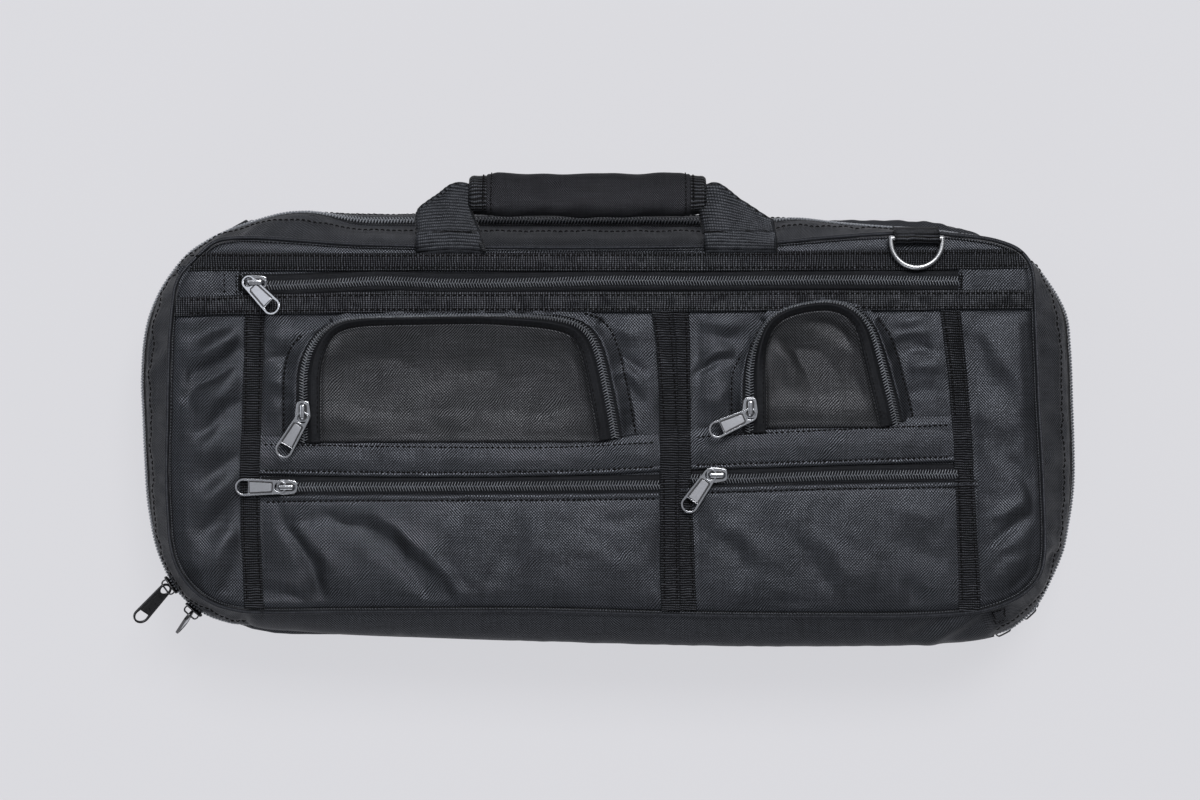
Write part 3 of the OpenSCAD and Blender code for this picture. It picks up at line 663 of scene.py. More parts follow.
# creases of the left side panel
for c in (
    ([(250, 308), (214, 328), (176, 350)], -1.5, 4.6, 0.1),
    ([(246, 326), (218, 344), (182, 368)], 1.6, 5.0, 0.2),
    ([(247, 350), (220, 366), (180, 394)], -2.7, 4.2, -0.25),
    ([(216, 356), (196, 372), (172, 382)], -1.1, 4.0, 0.0),
    ([(246, 366), (222, 392), (196, 420)], 1.5, 5.4, 0.2),
    ([(194, 384), (184, 410)], -0.9, 3.4, 0.0),
    ([(246, 392), (214, 424), (188, 450)], -1.0, 4.0, 0.2),
    ([(238, 420), (210, 446), (182, 474)], 1.1, 5.4, 0.1),
    ([(242, 446), (216, 470), (190, 494)], -1.1, 4.0, 0.0),
    ([(240, 470), (214, 494), (188, 516)], 1.0, 5.2, 0.1),
    ([(242, 498), (220, 520), (190, 546)], -1.5, 4.2, 0.0),
    ([(244, 524), (220, 552), (204, 582)], 0.9, 5.0, 0.0),
    ([(244, 556), (228, 584), (216, 606)], -0.8, 3.6, 0.0),
    # between the left ribbon and the left pouch
    ([(264, 358), (286, 356), (308, 358)], -1.0, 2.6, -0.3),
    ([(262, 398), (286, 378), (310, 360)], 1.0, 3.6, 0.2),
    ([(268, 384), (286, 374), (304, 362)], -0.6, 2.4, 0.0),
    ([(264, 330), (290, 338), (316, 332)], 0.7, 4.0, 0.0),
    ([(264, 420), (276, 408), (284, 396)], 0.5, 3.2, 0.0),
    ([(252, 350), (252, 366)], -1.4, 3.0, 0.0),
    # right of the left pouch, both sides of the middle ribbon
    ([(606, 354), (626, 374), (650, 402)], 0.9, 3.6, 0.1),
    ([(612, 348), (632, 364), (652, 380)], -0.6, 2.6, 0.0),
    ([(616, 372), (634, 392), (650, 416)], -0.5, 2.4, 0.0),
    ([(610, 330), (634, 334), (652, 328)], 0.6, 3.6, 0.0),
    ([(690, 377), (714, 362), (740, 352)], -1.1, 2.0, -0.4),
    ([(690, 370), (716, 354), (742, 346)], 0.8, 3.0, 0.0),
    ([(705, 335), (730, 336), (752, 330)], -0.8, 2.6, 0.0),
    ([(692, 324), (722, 322), (756, 314)], 0.8, 4.2, 0.0),
    ([(694, 404), (716, 396), (738, 394)], 0.5, 4.0, 0.0),
    # right of the right pouch
    ([(890, 325), (914, 320), (935, 318)], 1.0, 3.6, 0.1),
    ([(882, 347), (912, 346), (940, 350)], -1.7, 3.0, -0.3),
    ([(905, 370), (926, 366), (948, 368)], 0.9, 3.6, 0.0),
    ([(898, 396), (922, 392), (946, 396)], -0.5, 3.0, 0.0),
    ([(888, 336), (914, 333), (938, 334)], 0.6, 2.2, 0.0),
    # right side panel
    ([(950, 326), (972, 350), (998, 384), (1012, 436)], -0.95, 6.4, 0.3),
    ([(968, 330), (996, 356), (1020, 392), (1030, 430)], 0.7, 7.0, 0.0),
    ([(985, 410), (1002, 440), (1012, 480)], -0.5, 4.0, 0.0),
    ([(964, 400), (990, 420), (1016, 446)], 0.5, 5.0, 0.0),
    ([(1000, 446), (1018, 470), (1030, 496), (1044, 524)], -0.6, 3.4, -0.1),
    ([(1004, 466), (1020, 492), (1036, 520)], 0.4, 3.0, 0.0),
    ([(985, 520), (1010, 508), (1035, 497)], 0.9, 3.6, 0.0),
    ([(1040, 503), (1022, 518), (1004, 536), (980, 560)], -0.75, 3.0, -0.1),
    ([(982, 570), (1010, 546), (1040, 517)], 0.8, 3.8, 0.0),
    ([(1042, 560), (1026, 580), (1004, 596), (976, 606)], -0.9, 3.6, -0.1),
    ([(978, 586), (1006, 570), (1036, 548)], 0.5, 3.4, 0.0),
    # lower left pocket
    ([(272, 498), (290, 526), (312, 566), (332, 612), (342, 640)], -1.4, 3.6, -0.1),
    ([(286, 500), (306, 528), (330, 566), (350, 606)], 0.8, 5.0, 0.0),
    ([(296, 517), (346, 520), (388, 542), (420, 570), (452, 616), (474, 650)], -2.3, 4.4, -0.3),
    ([(352, 508), (396, 530), (434, 560), (466, 606), (486, 640)], 1.1, 5.0, 0.1),
    ([(432, 550), (454, 574), (474, 602)], -0.8, 3.6, 0.0),
    ([(532, 510), (508, 556), (486, 602)], -0.5, 5.0, 0.0),
    ([(546, 514), (524, 560), (502, 604)], 0.5, 6.0, 0.0),
    ([(252, 594), (282, 597), (320, 608)], -1.6, 4.4, 0.0),
    ([(268, 520), (290, 548), (300, 580)], 0.5, 6.0, 0.0),
    ([(560, 530), (604, 560), (648, 600)], 0.4, 8.0, 0.0),
    ([(590, 512), (620, 520), (650, 516)], -0.4, 3.0, 0.0),
    # lower right pocket
    ([(705, 535), (740, 555), (755, 595)], -0.7, 4.4, 0.1),
    ([(700, 520), (748, 540), (772, 584)], 0.6, 6.0, 0.0),
    ([(785, 530), (820, 575), (855, 610)], -0.7, 5.0, 0.1),
    ([(800, 520), (838, 560), (876, 604)], 0.5, 6.5, 0.0),
    ([(905, 575), (914, 592), (922, 610)], -0.7, 3.4, 0.0),
    ([(880, 532), (916, 550), (955, 567)], -0.5, 6.0, 0.0),
    ([(760, 605), (795, 607), (830, 612)], -0.5, 3.4, 0.0),
    ([(884, 510), (920, 516), (950, 524)], 0.5, 5.0, 0.0),
):
    crease(H, c[0], c[1] * 1.1, c[2] * 1.08, c[3])
# the fabric rests on the board behind it and cannot dip into it
H = np.where(H < 0, -0.7 * np.tanh(-H / 0.7), H)

# ======================================================================
# Outline stations, measured round the object: edge of the front fabric
# and the outermost line of the wall, in view pixels, anticlockwise.
# ======================================================================
STN = np.array([
    (264, 609.5, 262, 626.5), (320, 609, 320, 631.5), (436, 608.5, 436, 636.5), (540, 608.5, 540, 640),
    (640, 611, 640, 643), (740, 613, 740, 645), (830, 613.5, 832, 645), (915, 613, 922, 643.5),
    (960, 610.5, 968, 640), (985, 607, 998, 633.5), (1008, 599, 1018, 621.5), (1026, 588, 1036.5, 603.5),
    (1037, 574, 1048.5, 581), (1041.5, 555, 1061, 552), (1042, 530, 1066, 528), (1041, 500, 1069.5, 500),
    (1039, 455, 1070, 455), (1036, 405, 1068.5, 405), (1034, 355, 1066.5, 352), (1032, 305, 1060, 307),
    (1031, 282, 1047, 283), (1028, 266, 1032, 264), (1018, 253, 1014, 250), (1000, 245, 992, 241.5),
    (960, 238.5, 955, 234.8), (920, 236, 918, 230.3), (880, 237, 880, 228), (830, 240.5, 830, 223.5),
    (780, 245, 780, 217), (730, 248.5, 730, 214), (660, 250, 660, 212), (560, 250.5, 560, 211.5),
    (480, 250, 480, 211.5), (400, 248.5, 400, 212), (350, 247, 350, 212), (300, 243.5, 305, 213),
    (262, 241, 280, 215.5), (235, 241, 255, 222.5), (215, 245, 228, 232), (199, 259, 203, 245),
    (184, 275, 184, 260), (177.5, 290, 163, 289), (175.5, 305, 155.5, 308), (173, 330, 149, 335),
    (171.5, 370, 145.8, 375), (170.5, 420, 147, 415), (169.5, 470, 149.2, 465), (171, 515, 152.5, 516),
    (173.5, 545, 157.5, 545), (180, 566, 165.5, 566), (193, 585, 178, 589), (213, 600, 200, 609),
    (238, 607.5, 228, 620.5)], float)
E4 = np.array([[*px(a, b, ZT), *px(c, d, 64)] for a, b, c, d in STN])
NST = 900
ST = spline(E4[:, [0, 1, 2, 3]], NST, closed=True)
# spacing by the fabric edge
_q = arclen(ST[:, :2], True)
_t = np.linspace(0, _q[-1], NST, endpoint=False)
ST = np.stack([np.interp(_t, _q, np.append(ST[:, k], ST[0, k])) for k in range(4)], 1)
for _ in range(3):
    ST = (np.roll(ST, 1, 0) + 2 * ST + np.roll(ST, -1, 0)) / 4
EDGE, SIL = ST[:, :2], ST[:, 2:]
# the fabric hinges need the wall's bottom line straight between the zip ends
Tn = unit(np.roll(EDGE, -1, 0) - np.roll(EDGE, 1, 0))
OUT = np.stack([Tn[:, 1], -Tn[:, 0]], 1)
bottom = SIL[:, 1] < -95
low_w = sstep(-206, -196, SIL[:, 0]) * sstep(222, 212, SIL[:, 0]) * bottom     # 1 between the zip ends
top_w = sstep(-174, -136, SIL[:, 0]) * sstep(116, 78, SIL[:, 0]) * (SIL[:, 1] > 60)
perim = arclen(np.hstack([SIL, np.zeros((NST, 1))]), True)[:NST]

# fabric edge: pull the field down into the seam
_D = np.full(XX.shape, 1e9)
P3 = EDGE[::3]
for i in range(len(P3)):
    a, b = P3[i], P3[(i + 1) % len(P3)]
    d = b - a
    t = np.clip(((XX - a[0]) * d[0] + (YY - a[1]) * d[1]) / max(d @ d, 1e-9), 0, 1)
    _D = np.minimum(_D, np.hypot(XX - a[0] - t * d[0], YY - a[1] - t * d[1]))
EDGE_D = _D
H *= sstep(0, 9, EDGE_D)
H -= 1.1 * np.exp(-(EDGE_D / 1.7) ** 2)


def hgt(x, y):
    return sample(H, x, y)


def nearest_index(x, y, C):
    return int(np.argmin((C[:, 0] - x) ** 2 + (C[:, 1] - y) ** 2))


def coons(bottom_, right_, top_, left_, n, m):
    """Grid between four curves; bottom/top run left to right, left/right upward."""
    def rs(C, k):
        s = arclen(C)
        q = np.linspace(0, s[-1], k)
        return np.stack([np.interp(q, s, C[:, j]) for j in range(C.shape[1])], 1)
    B, T, L, R = rs(bottom_, n), rs(top_, n), rs(left_, m), rs(right_, m)
    u = np.linspace(0, 1, n)[:, None, None]
    v = np.linspace(0, 1, m)[None, :, None]
    G = ((1 - v) * B[:, None] + v * T[:, None] + (1 - u) * L[None] + u * R[None]
         - ((1 - u) * (1 - v) * B[0] + u * (1 - v) * B[-1] + (1 - u) * v * T[0] + u * v * T[-1]))
    return G


def loop_part(C, i, j):
    n = len(C)
    return C[np.arange(i, i + ((j - i) % n) + 1) % n]


cBL = nearest_index(-231, -92, EDGE)
cBR = nearest_index(228, -92, EDGE)
cTR = nearest_index(229, 95, EDGE)
cTL = nearest_index(-231, 93, EDGE)


def panel_grid(C, n, m):
    b, r = loop_part(C, cBL, cBR), loop_part(C, cBR, cTR)
    t, l = loop_part(C, cTR, cTL)[::-1], loop_part(C, cTL, cBL)[::-1]
    return coons(b, r, t, l, n, m)


# front fabric
G2 = panel_grid(EDGE, 350, 156)
G = np.dstack([G2, ZT + hgt(G2[..., 0], G2[..., 1])])
Batch().grid(G, G2).make("front_fabric", CLOTH, "front_cover", "cloth", ["front_panel"], solid=0.8)

# ---------------------------------------------------------------- walls
SIDE = [(0, 92.4), (.10, 90.2), (.22, 87.4), (.36, 84.2), (.53, 80.2), (.70, 76.2), (.83, 72.2), (.93, 68.6),
        (.985, 65.2), (1, 62), (1, 58.8), (1.01, 55.4), (1.04, 51), (1.05, 47), (1.04, 42.8), (1.01, 38.6),
        (1, 35.2), (1, 32), (.99, 28.8), (.96, 25.4), (.90, 20.5), (.80, 15.5), (.66, 10.5), (.46, 6), (.22, 2.6),
        (0, 1.2)]
TOPW = [(0, 92.4), (.09, 91.2), (.20, 88.6), (.32, 84.4), (.42, 79.5), (.50, 74.8), (.57, 70.8), (.64, 68),
        (.70, 66.2), (.76, 64), (.83, 61.8), (.91, 58.4), (.97, 53), (1, 47), (1, 42), (.99, 38),
        (.985, 35.2), (.98, 32), (.97, 28.8), (.95, 25.4), (.89, 20.5), (.80, 15.5), (.66, 10.5), (.46, 6),
        (.22, 2.6), (0, 1.2)]
LOWW = [(0, 92.4), (.16, 91.0), (.34, 88.8), (.55, 85.9), (.76, 82.0), (.91, 77.8), (.985, 73.2), (1.0, 69.6),
        (1, 66), (1, 62), (1, 58.8), (.98, 55.4), (.965, 51), (.96, 47), (.965, 42.8), (.98, 38.6),
        (1, 35.2), (1, 32), (1, 28.8), (.98, 25.4), (.92, 20.5), (.82, 15.5), (.66, 10.5), (.46, 6),
        (.22, 2.6), (0, 1.2)]
SUB = 4


def wall_rows():
    """Wall surface: [station, row] points; SUB rows to each profile step."""
    prof = []
    for P in (SIDE, TOPW, LOWW):
        A = np.array([(f, z / 100.0, 0) for f, z in P])
        k = np.arange(len(A))
        q = np.linspace(0, len(A) - 1, (len(A) - 1) * SUB + 1)
        i = np.clip(q.astype(int), 0, len(A) - 2)
        t = (q - i)[:, None]
        a, b = A[np.clip(i - 1, 0, None)], A[i]
        c, d = A[i + 1], A[np.clip(i + 2, None, len(A) - 1)]
        R = 0.5 * (2 * b + (c - a) * t + (2 * a - 5 * b + 4 * c - d) * t**2 + (3 * b - a - 3 * c + d) * t**3)
        prof.append(np.stack([R[:, 0], R[:, 1] * 100], 1))
    s, t_, l = prof
    wl = low_w[:, None, None]
    wt = (top_w * (1 - low_w))[:, None, None]
    return (1 - wl - wt) * s[None] + wt * t_[None] + wl * l[None]


PR = wall_rows()
D2 = SIL - EDGE
# between the zip ends the outermost line is the straight fabric hinge
SILB = SIL.copy()
WALL = np.dstack([EDGE[:, None, 0] + D2[:, None, 0] * PR[..., 0], EDGE[:, None, 1] + D2[:, None, 1] * PR[..., 0], PR[..., 1]])
NR = WALL.shape[1]
rowk = np.arange(NR) / SUB
# the wall swells out past the hinge seams, and is drawn in to them
seam_in = np.maximum(sstep(6.4, 7.8, rowk) * sstep(18.8, 18.0, rowk), 0)[None]
_y = np.maximum(WALL[..., 1], HX + 0.2)
WALL[..., 1] += (_y - WALL[..., 1]) * seam_in * low_w[:, None]
SILB[:, 1] = SILB[:, 1] * (1 - low_w) + np.maximum(SILB[:, 1], HX + 0.2) * low_w
WT = unit(np.roll(WALL, -1, 0) - np.roll(WALL, 1, 0))
WV = unit(np.gradient(WALL, axis=1))
WN = unit(np.cross(WT, WV))
WN *= np.sign((WN[..., :2] * OUT[:, None]).sum(-1).mean())
# soft wrinkles that die out at the seams and the zips
S_ = np.broadcast_to(perim[:, None], (NST, NR))
K_ = np.broadcast_to(rowk[None] * 5.0, (NST, NR))
tot = perim[-1] + np.linalg.norm(SIL[0] - SIL[-1])
_w = 2 * np.pi / tot


def ring_noise(seed, lo, hi, kz):
    """Noise that closes on itself round the wall."""
    r = np.random.default_rng(seed)
    out = np.zeros((NST, NR))
    for _ in range(16):
        f = int(r.uniform(tot / hi, tot / lo))
        out += np.sin(_w * f * S_ + r.uniform(-1, 1) * K_ / kz * 2 * np.pi + r.uniform(0, 6.28))
    return out / 4.0


def fade(k, zeros, w):
    f = np.ones(k.shape)
    for z in zeros:
        f = f * sstep(0, w, np.abs(k - z))
    return f


calm = fade(rowk, (0, 7, 8, 9, 10, 11, 16, 17, 18, 25), 1.1)[None]
wr = 0.55 * ring_noise(21, 22, 60, 30) + 0.28 * ring_noise(22, 9, 22, 22)
wr = wr * calm * (1 - 0.75 * low_w[:, None]) * (1 - 0.6 * top_w[:, None])
# the corner lower right is crumpled where the wall is gathered
for (u0, v0, u1, v1, amp, wd) in ((912, 634, 948, 616, -1.3, 7), (930, 640, 968, 618, 1.2, 7), (950, 640, 990, 612, -1.1, 7),
                                  (190, 600, 214, 618, -0.8, 8), (1050, 560, 1062, 530, -0.8, 8), (1040, 420, 1066, 440, -0.7, 9),
                                  (1040, 340, 1064, 360, 0.7, 9), (152, 340, 166, 352, -0.6, 8), (150, 440, 168, 452, 0.6, 8)):
    a, b = px(u0, v0, 76), px(u1, v1, 84)
    d = b - a
    L = np.linalg.norm(d)
    d = d / L
    rx, ry = WALL[..., 0] - a[0], WALL[..., 1] - a[1]
    al = (rx * d[0] + ry * d[1]) / L
    ac = rx * -d[1] + ry * d[0]
    wr = wr + amp * np.exp(-(ac / (wd * 0.55)) ** 2) * sstep(-0.4, 0.1, al) * sstep(1.4, 0.9, al) * (WALL[..., 2] > 66) * calm
WALL = WALL + WN * wr[..., None]
# the leaf's stiff board presses the wall out wherever it reaches it
_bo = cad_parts["leaf_board"]
_bv = np.array([_bo.matrix_world @ v.co for v in _bo.data.vertices])[:, :2] * 1000
_bv = _bv[np.argsort(np.arctan2(_bv[:, 1] * 2, _bv[:, 0]))]
_bv = _bv[np.concatenate([[True], np.linalg.norm(np.diff(_bv, axis=0), axis=1) > 1e-3])]
_bl = even(np.hstack([np.vstack([_bv, _bv[:1]]), np.zeros((len(_bv) + 1, 1))]), 1.2)[0][:, :2]
_wm = WALL[:, 13 * SUB, :2]
_nb = _bl[np.argmin(np.hypot(_wm[:, None, 0] - _bl[None, :, 0], _wm[:, None, 1] - _bl[None, :, 1]), axis=1)]
_push = np.clip(1.0 - ((_wm - _nb) * OUT).sum(1), 0, 6)
for _ in range(12):
    _push = np.maximum(_push, (np.roll(_push, 1) + 2 * _push + np.roll(_push, -1)) / 4)
_wz = sstep(38.5, 44.4, WALL[..., 2]) * sstep(55.5, 49.6, WALL[..., 2])
WALL[..., :2] += OUT[:, None] * (_push[:, None] * _wz)[..., None]
UVW = np.stack([S_, np.cumsum(np.concatenate([np.zeros((NST, 1)), np.linalg.norm(np.diff(WALL, axis=1), axis=2)], 1), 1)], -1)


def wall_part(k0, k1, sel=None):
    a, b = int(k0 * SUB), int(k1 * SUB) + 1
    return WALL[:, a:b], UVW[:, a:b]


def ring_grid(batch, G, uv, flip=False):
    """Closed strip; the last column repeats the first so that uv can run on."""
    G2_ = np.concatenate([G, G[:1]], 0)
    uv2 = np.concatenate([uv, uv[:1] + np.array([tot, 0])], 0)
    return batch.grid(G2_, uv2, flip=flip)


b = Batch()
ring_grid(b, *wall_part(0, 7.75))
b.make("front_gusset", CLOTH_SIDE_PAINTED_LIGHT, "front_cover", "cloth", ["front_wall"], solid=0.9, off=1.0)
b = Batch()
ring_grid(b, *wall_part(10.25, 16.6))
b.make("leaf_gusset", CLOTH_SIDE_PAINTED_LIGHT, "leaf", "cloth", ["leaf_wall"], solid=0.9, off=1.0)
b = Batch()
ring_grid(b, *wall_part(17.4, 25))
b.make("back_gusset", CLOTH_BACK, "back_cover", "cloth", ["back_wall"], solid=0.9, off=1.0)
# fabric hinges, sewn between the zip ends
ih = np.where(low_w > 0.5)[0]
for nm, k0, k1, pa, za, zb in (("front_hinge_strip", 7.5, 10.5, ("leaf", "front_cover"), 58.5, 65.5),
                               ("back_hinge_strip", 16.0, 18.0, ("back_cover", "leaf"), 28.5, 35.5)):
    a, c = int(k0 * SUB), int(k1 * SUB) + 1
    idx = np.arange(ih[0] - 3, ih[-1] + 4) if ih[-1] - ih[0] < NST - 2 else np.concatenate([ih[np.argmax(np.diff(ih)) + 1:], ih[:np.argmax(np.diff(ih)) + 1]])
    Gh = WALL[idx, a:c].copy()
    zz = np.linspace(Gh[0, 0, 2], Gh[0, -1, 2], Gh.shape[1] * 3)
    Gn = np.stack([np.stack([np.full(len(zz), Gh[i, :, 0].mean()), np.full(len(zz), max(HX + 0.15, Gh[i, :, 1].min() - 0.1)), zz], -1) for i in range(len(idx))])
    uvh = np.stack(np.broadcast_arrays(Gn[..., 0], Gn[..., 2]), -1)
    o = Batch().grid(Gn, uvh).make(nm, CLOTH_SIDE_PAINTED_LIGHT, None, "cloth", solid=0.8, off=0.0)
    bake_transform(o, pa[0], pa[1], start=(0, HX / 1000, za / 1000), end=(0, HX / 1000, zb / 1000))

# piping at the fabric edge, just outside the seam groove
off = EDGE + OUT * 1.7
pp = np.hstack([off, np.full((NST, 1), ZT - 0.25) + 0.18 * np.sin(perim / 9.0)[:, None]])
b = Batch().tube(pp, 1.15, 10, closed=True, flat=1.0)
b.make("front_piping_cord", PIPING, "front_cover", "webbing", ["front_piping"])
back_edge = EDGE * np.array([1.0, 1.0])
pb = np.hstack([back_edge + OUT * 0.9, np.full((NST, 1), 1.5)])
Batch().tube(pb, 1.25, 8, closed=True).make("back_piping_cord", PIPING, "back_cover", "webbing", ["back_piping"])
# back fabric, lying on the floor
GB = panel_grid(back_edge, 170, 80)
zb = 0.75 + 0.35 * sample(smooth_noise(60, 31), GB[..., 0], GB[..., 1])
Batch().grid(np.dstack([GB, np.clip(zb, 0.35, 1.2)]), GB, flip=True).make("back_fabric", CLOTH_BACK, "back_cover", "cloth", ["back_panel"], solid=0.6, off=-1.0)

# ======================================================================
# Sewn strips, stitches and zips on the front
# ======================================================================
def edge_x(y, side):
    """x of the fabric edge at height y, on the left (-1) or right (+1)."""
    sel = EDGE[:, 0] * side > 150
    P = EDGE[sel]
    o = np.argsort(P[:, 1])
    return np.interp(y, P[o, 1], P[o, 0])


ACROSS = np.concatenate([[-1, -1, -0.985, -0.93], np.linspace(-0.82, 0.82, 9), [0.93, 0.985, 1, 1]])
EDGE_DROP = np.concatenate([[-1, -0.42, -0.12, -0.02], np.zeros(9), [-0.02, -0.12, -0.42, -1]])


def seam_dips(t, lines, depth=0.22, w=0.09):
    return -depth * sum(np.exp(-((t - l) / w) ** 2) for l in lines)


def lint(n, seed, amp):
    return np.random.default_rng(seed).normal(0, amp, n)


def strip_z(X, Y, lift):
    """Strip height over the fabric: follows it, a little stiffer."""
    return ZT + 0.5 * hgt(X, Y) + 0.25 * (hgt(X + 3, Y) + hgt(X - 3, Y)) + lift


def band(batch, low, high, lift, pitch, amp=0.17, thick=1.5, x0=None, x1=None, seed=1, dips=(-0.7, 0.7), step=0.34):
    """Ribbed ribbon lying along x between two measured edges (view pixels)."""
    lo, hi = pxs(low, ZT + lift), pxs(high, ZT + lift)
    T = ACROSS
    y_mid = np.interp(0, lo[:, 0], lo[:, 1])
    yl = np.interp(-235, lo[:, 0], lo[:, 1]) * (1 - T) / 2 + np.interp(-235, hi[:, 0], hi[:, 1]) * (1 + T) / 2
    yr = np.interp(230, lo[:, 0], lo[:, 1]) * (1 - T) / 2 + np.interp(230, hi[:, 0], hi[:, 1]) * (1 + T) / 2
    xl = edge_x(yl, -1) + 0.5 if x0 is None else np.full(len(T), x0)
    xr = edge_x(yr, 1) - 0.5 if x1 is None else np.full(len(T), x1)
    L = xr.mean() - xl.mean()
    n = int(L / step)
    s = np.linspace(0, 1, n)[:, None]
    X = xl[None] * (1 - s) + xr[None] * s
    Lo = np.interp(X, lo[:, 0], lo[:, 1])
    Hi = np.interp(X, hi[:, 0], hi[:, 1])
    sm = 0.12 * np.sin(X / 17.0 + seed) + 0.05 * np.sin(X / 5.3 + 2 * seed)
    Y = Lo * (1 - T) / 2 + Hi * (1 + T) / 2 + sm
    r = np.random.default_rng(seed)
    phase = X / pitch * 2 * np.pi
    rib = np.cos(phase) * amp * (1 + 0.25 * np.repeat(r.normal(0, 1, n // 4 + 1), 4)[:n, None])
    inner = (np.abs(T) < 0.97)[None]
    Z = strip_z(X, Y, lift) + EDGE_DROP[None] * thick + rib * inner + seam_dips(T, dips)[None]
    Z = Z + 0.16 * (1 - T**2)[None] * inner
    batch.grid(np.stack([X, Y, Z], -1), np.stack([X, Y], -1), flip=True)
    return lo, hi


def smooth_line(points, z, n=240):
    P = pxs(points, z)
    return spline(np.hstack([P, np.zeros((len(P), 1))]), n)[:, :2]


def vribbon(batch, left, right, lift, pitch, amp=0.17, thick=1.5, seed=1, dips=(-0.66, 0.66), step=0.34, z_extra=None):
    """Ribbed ribbon running down the front; edges measured in view pixels."""
    A, B = smooth_line(left, ZT + lift, 200), smooth_line(right, ZT + lift, 200)
    L = np.linalg.norm(np.diff(A, axis=0), axis=1).sum()
    n = int(L / step)
    q = np.linspace(0, 199, n)
    A = np.stack([np.interp(q, range(200), A[:, k]) for k in (0, 1)], 1)
    B = np.stack([np.interp(q, range(200), B[:, k]) for k in (0, 1)], 1)
    T = ACROSS[None, :, None]
    G = A[:, None] * (1 - T) / 2 + B[:, None] * (1 + T) / 2
    X, Y = G[..., 0], G[..., 1]
    s = np.linspace(0, L, n)[:, None]
    r = np.random.default_rng(seed)
    rib = np.cos(s / pitch * 2 * np.pi) * amp * (1 + 0.25 * np.repeat(r.normal(0, 1, n // 4 + 1), 4)[:n, None])
    t = ACROSS[None]
    inner = np.abs(t) < 0.97
    X = X + 0.1 * np.sin(s / 6.0 + seed)
    Z = strip_z(X, Y, lift) + EDGE_DROP[None] * thick + rib * inner + seam_dips(t, dips) + 0.14 * (1 - t**2) * inner
    if z_extra is not None:
        Z = Z + z_extra(X, Y)
    w = np.linalg.norm(B - A, axis=1).mean() / 2
    batch.grid(np.stack([X, Y, Z], -1), np.stack(np.broadcast_arrays(s, t * w), -1))


# one stitch: a short thread that dives at both ends
_k = np.arange(6) * 2 * np.pi / 6
_rings = [(-1.0, 0.10, -0.30), (-0.72, 0.24, -0.04), (0.0, 0.27, 0.06), (0.72, 0.24, -0.04), (1.0, 0.10, -0.30)]
STITCH = np.array([(a, r * math.cos(k), r * math.sin(k) + c) for a, r, c in _rings for k in _k])
STITCH_F = [np.array([(i * 6 + k, i * 6 + (k + 1) % 6, (i + 1) * 6 + (k + 1) % 6, (i + 1) * 6 + k)
                      for i in range(4) for k in range(6)])]


def along(P, step, start=0.0, *extra):
    s = arclen(P)
    q = np.arange(start, s[-1], step)
    res = [np.stack([np.interp(q, s, A[:, k]) for k in range(A.shape[1])], 1) for A in (P, tangent(P), *extra)]
    res[1] = unit(res[1])
    for i in range(2, len(res)):
        res[i] = unit(res[i])
    return res


def stitches(batch, P, pitch=2.9, size=1.0, up=None, seed=0):
    """Row of stitches along a 3-D line."""
    if up is not None and np.ndim(up) == 2:
        P, up_, _ = even(np.asarray(P, float), 0.7, extra=np.asarray(up, float))
    else:
        P = even(np.asarray(P, float), 0.7)[0]
        up_ = np.broadcast_to(np.array([0, 0, 1.0]) if up is None else up, P.shape)
    C, A, N = along(P, pitch, pitch * 0.4, up_)
    r = np.random.default_rng(seed + len(C))
    A = unit(A + N * 0 + r.normal(0, 0.05, A.shape))
    B = unit(np.cross(N, A))
    N = np.cross(A, B)
    T = STITCH * np.array([pitch * 0.36, size * 1.4, size * 1.15])
    batch.copies(T, STITCH_F, C, A, B, N)


def on_front(points, lift, n=300, wave=0.0):
    """3-D line over the front fabric from view pixels."""
    P = smooth_line(points, ZT + lift, n)
    z = strip_z(P[:, 0], P[:, 1], lift)
    return np.stack([P[:, 0], P[:, 1] + wave * np.sin(P[:, 0] / 7.0), z], 1)


def tooth(half, h=1.0, lean=0.5, fat=1.0):
    st = [(-0.5, 0.20, 0.62), (-0.15, 0.42, 1.15), (0.5, 0.50, 1.32), (half * 0.5, 0.40, 1.18),
          (half - 0.5, 0.42, 1.08), (half - 0.08, 0.34, 0.72), (half + 0.06, 0.16, 0.15)]
    V = []
    for b_, a_, c_ in st:
        a0 = lean * b_ / half
        c_ = c_ * h
        a_ = a_ * fat
        V += [(a0 - a_, b_, 0), (a0 - a_, b_, 0.55 * c_), (a0 - 0.5 * a_, b_, c_), (a0 + 0.5 * a_, b_, c_),
              (a0 + a_, b_, 0.55 * c_), (a0 + a_, b_, 0)]
    F = [(i * 6 + k, (i + 1) * 6 + k, (i + 1) * 6 + k + 1, i * 6 + k + 1) for i in range(len(st) - 1) for k in range(5)]
    return np.array(V), [np.array(F), np.array([(0, 1, 2, 3), (0, 3, 4, 5)])]


def coil(batch, P, side, up, pitch, half=2.6, rows=(1, -1), h=1.0, lift=0.0, lean=0.95, fat=0.35, start=0.0, lean_k=None):
    T, F = tooth(half, h, lean if lean_k is None else 0.0, fat)
    for r_ in rows:
        C, A, B, N = along(P, pitch, pitch * (0.25 if r_ > 0 else 0.75) + start, side, up)
        if lean_k is not None:
            # teeth seen end-on stand straight, so that the gaps between them show
            sa = arclen(P)
            q = np.arange(pitch * (0.25 if r_ > 0 else 0.75) + start, sa[-1], pitch)
            B = unit(B + r_ * A * (lean / half * np.interp(q, sa, lean_k))[:, None])
        rr = np.random.default_rng(len(C) + (1 if r_ > 0 else 2))
        C = C + N * (lift + rr.normal(0, 0.03, (len(C), 1))) + B * rr.normal(0, 0.03, (len(C), 1))
        batch.copies(T, F, C, A, B * r_, N)


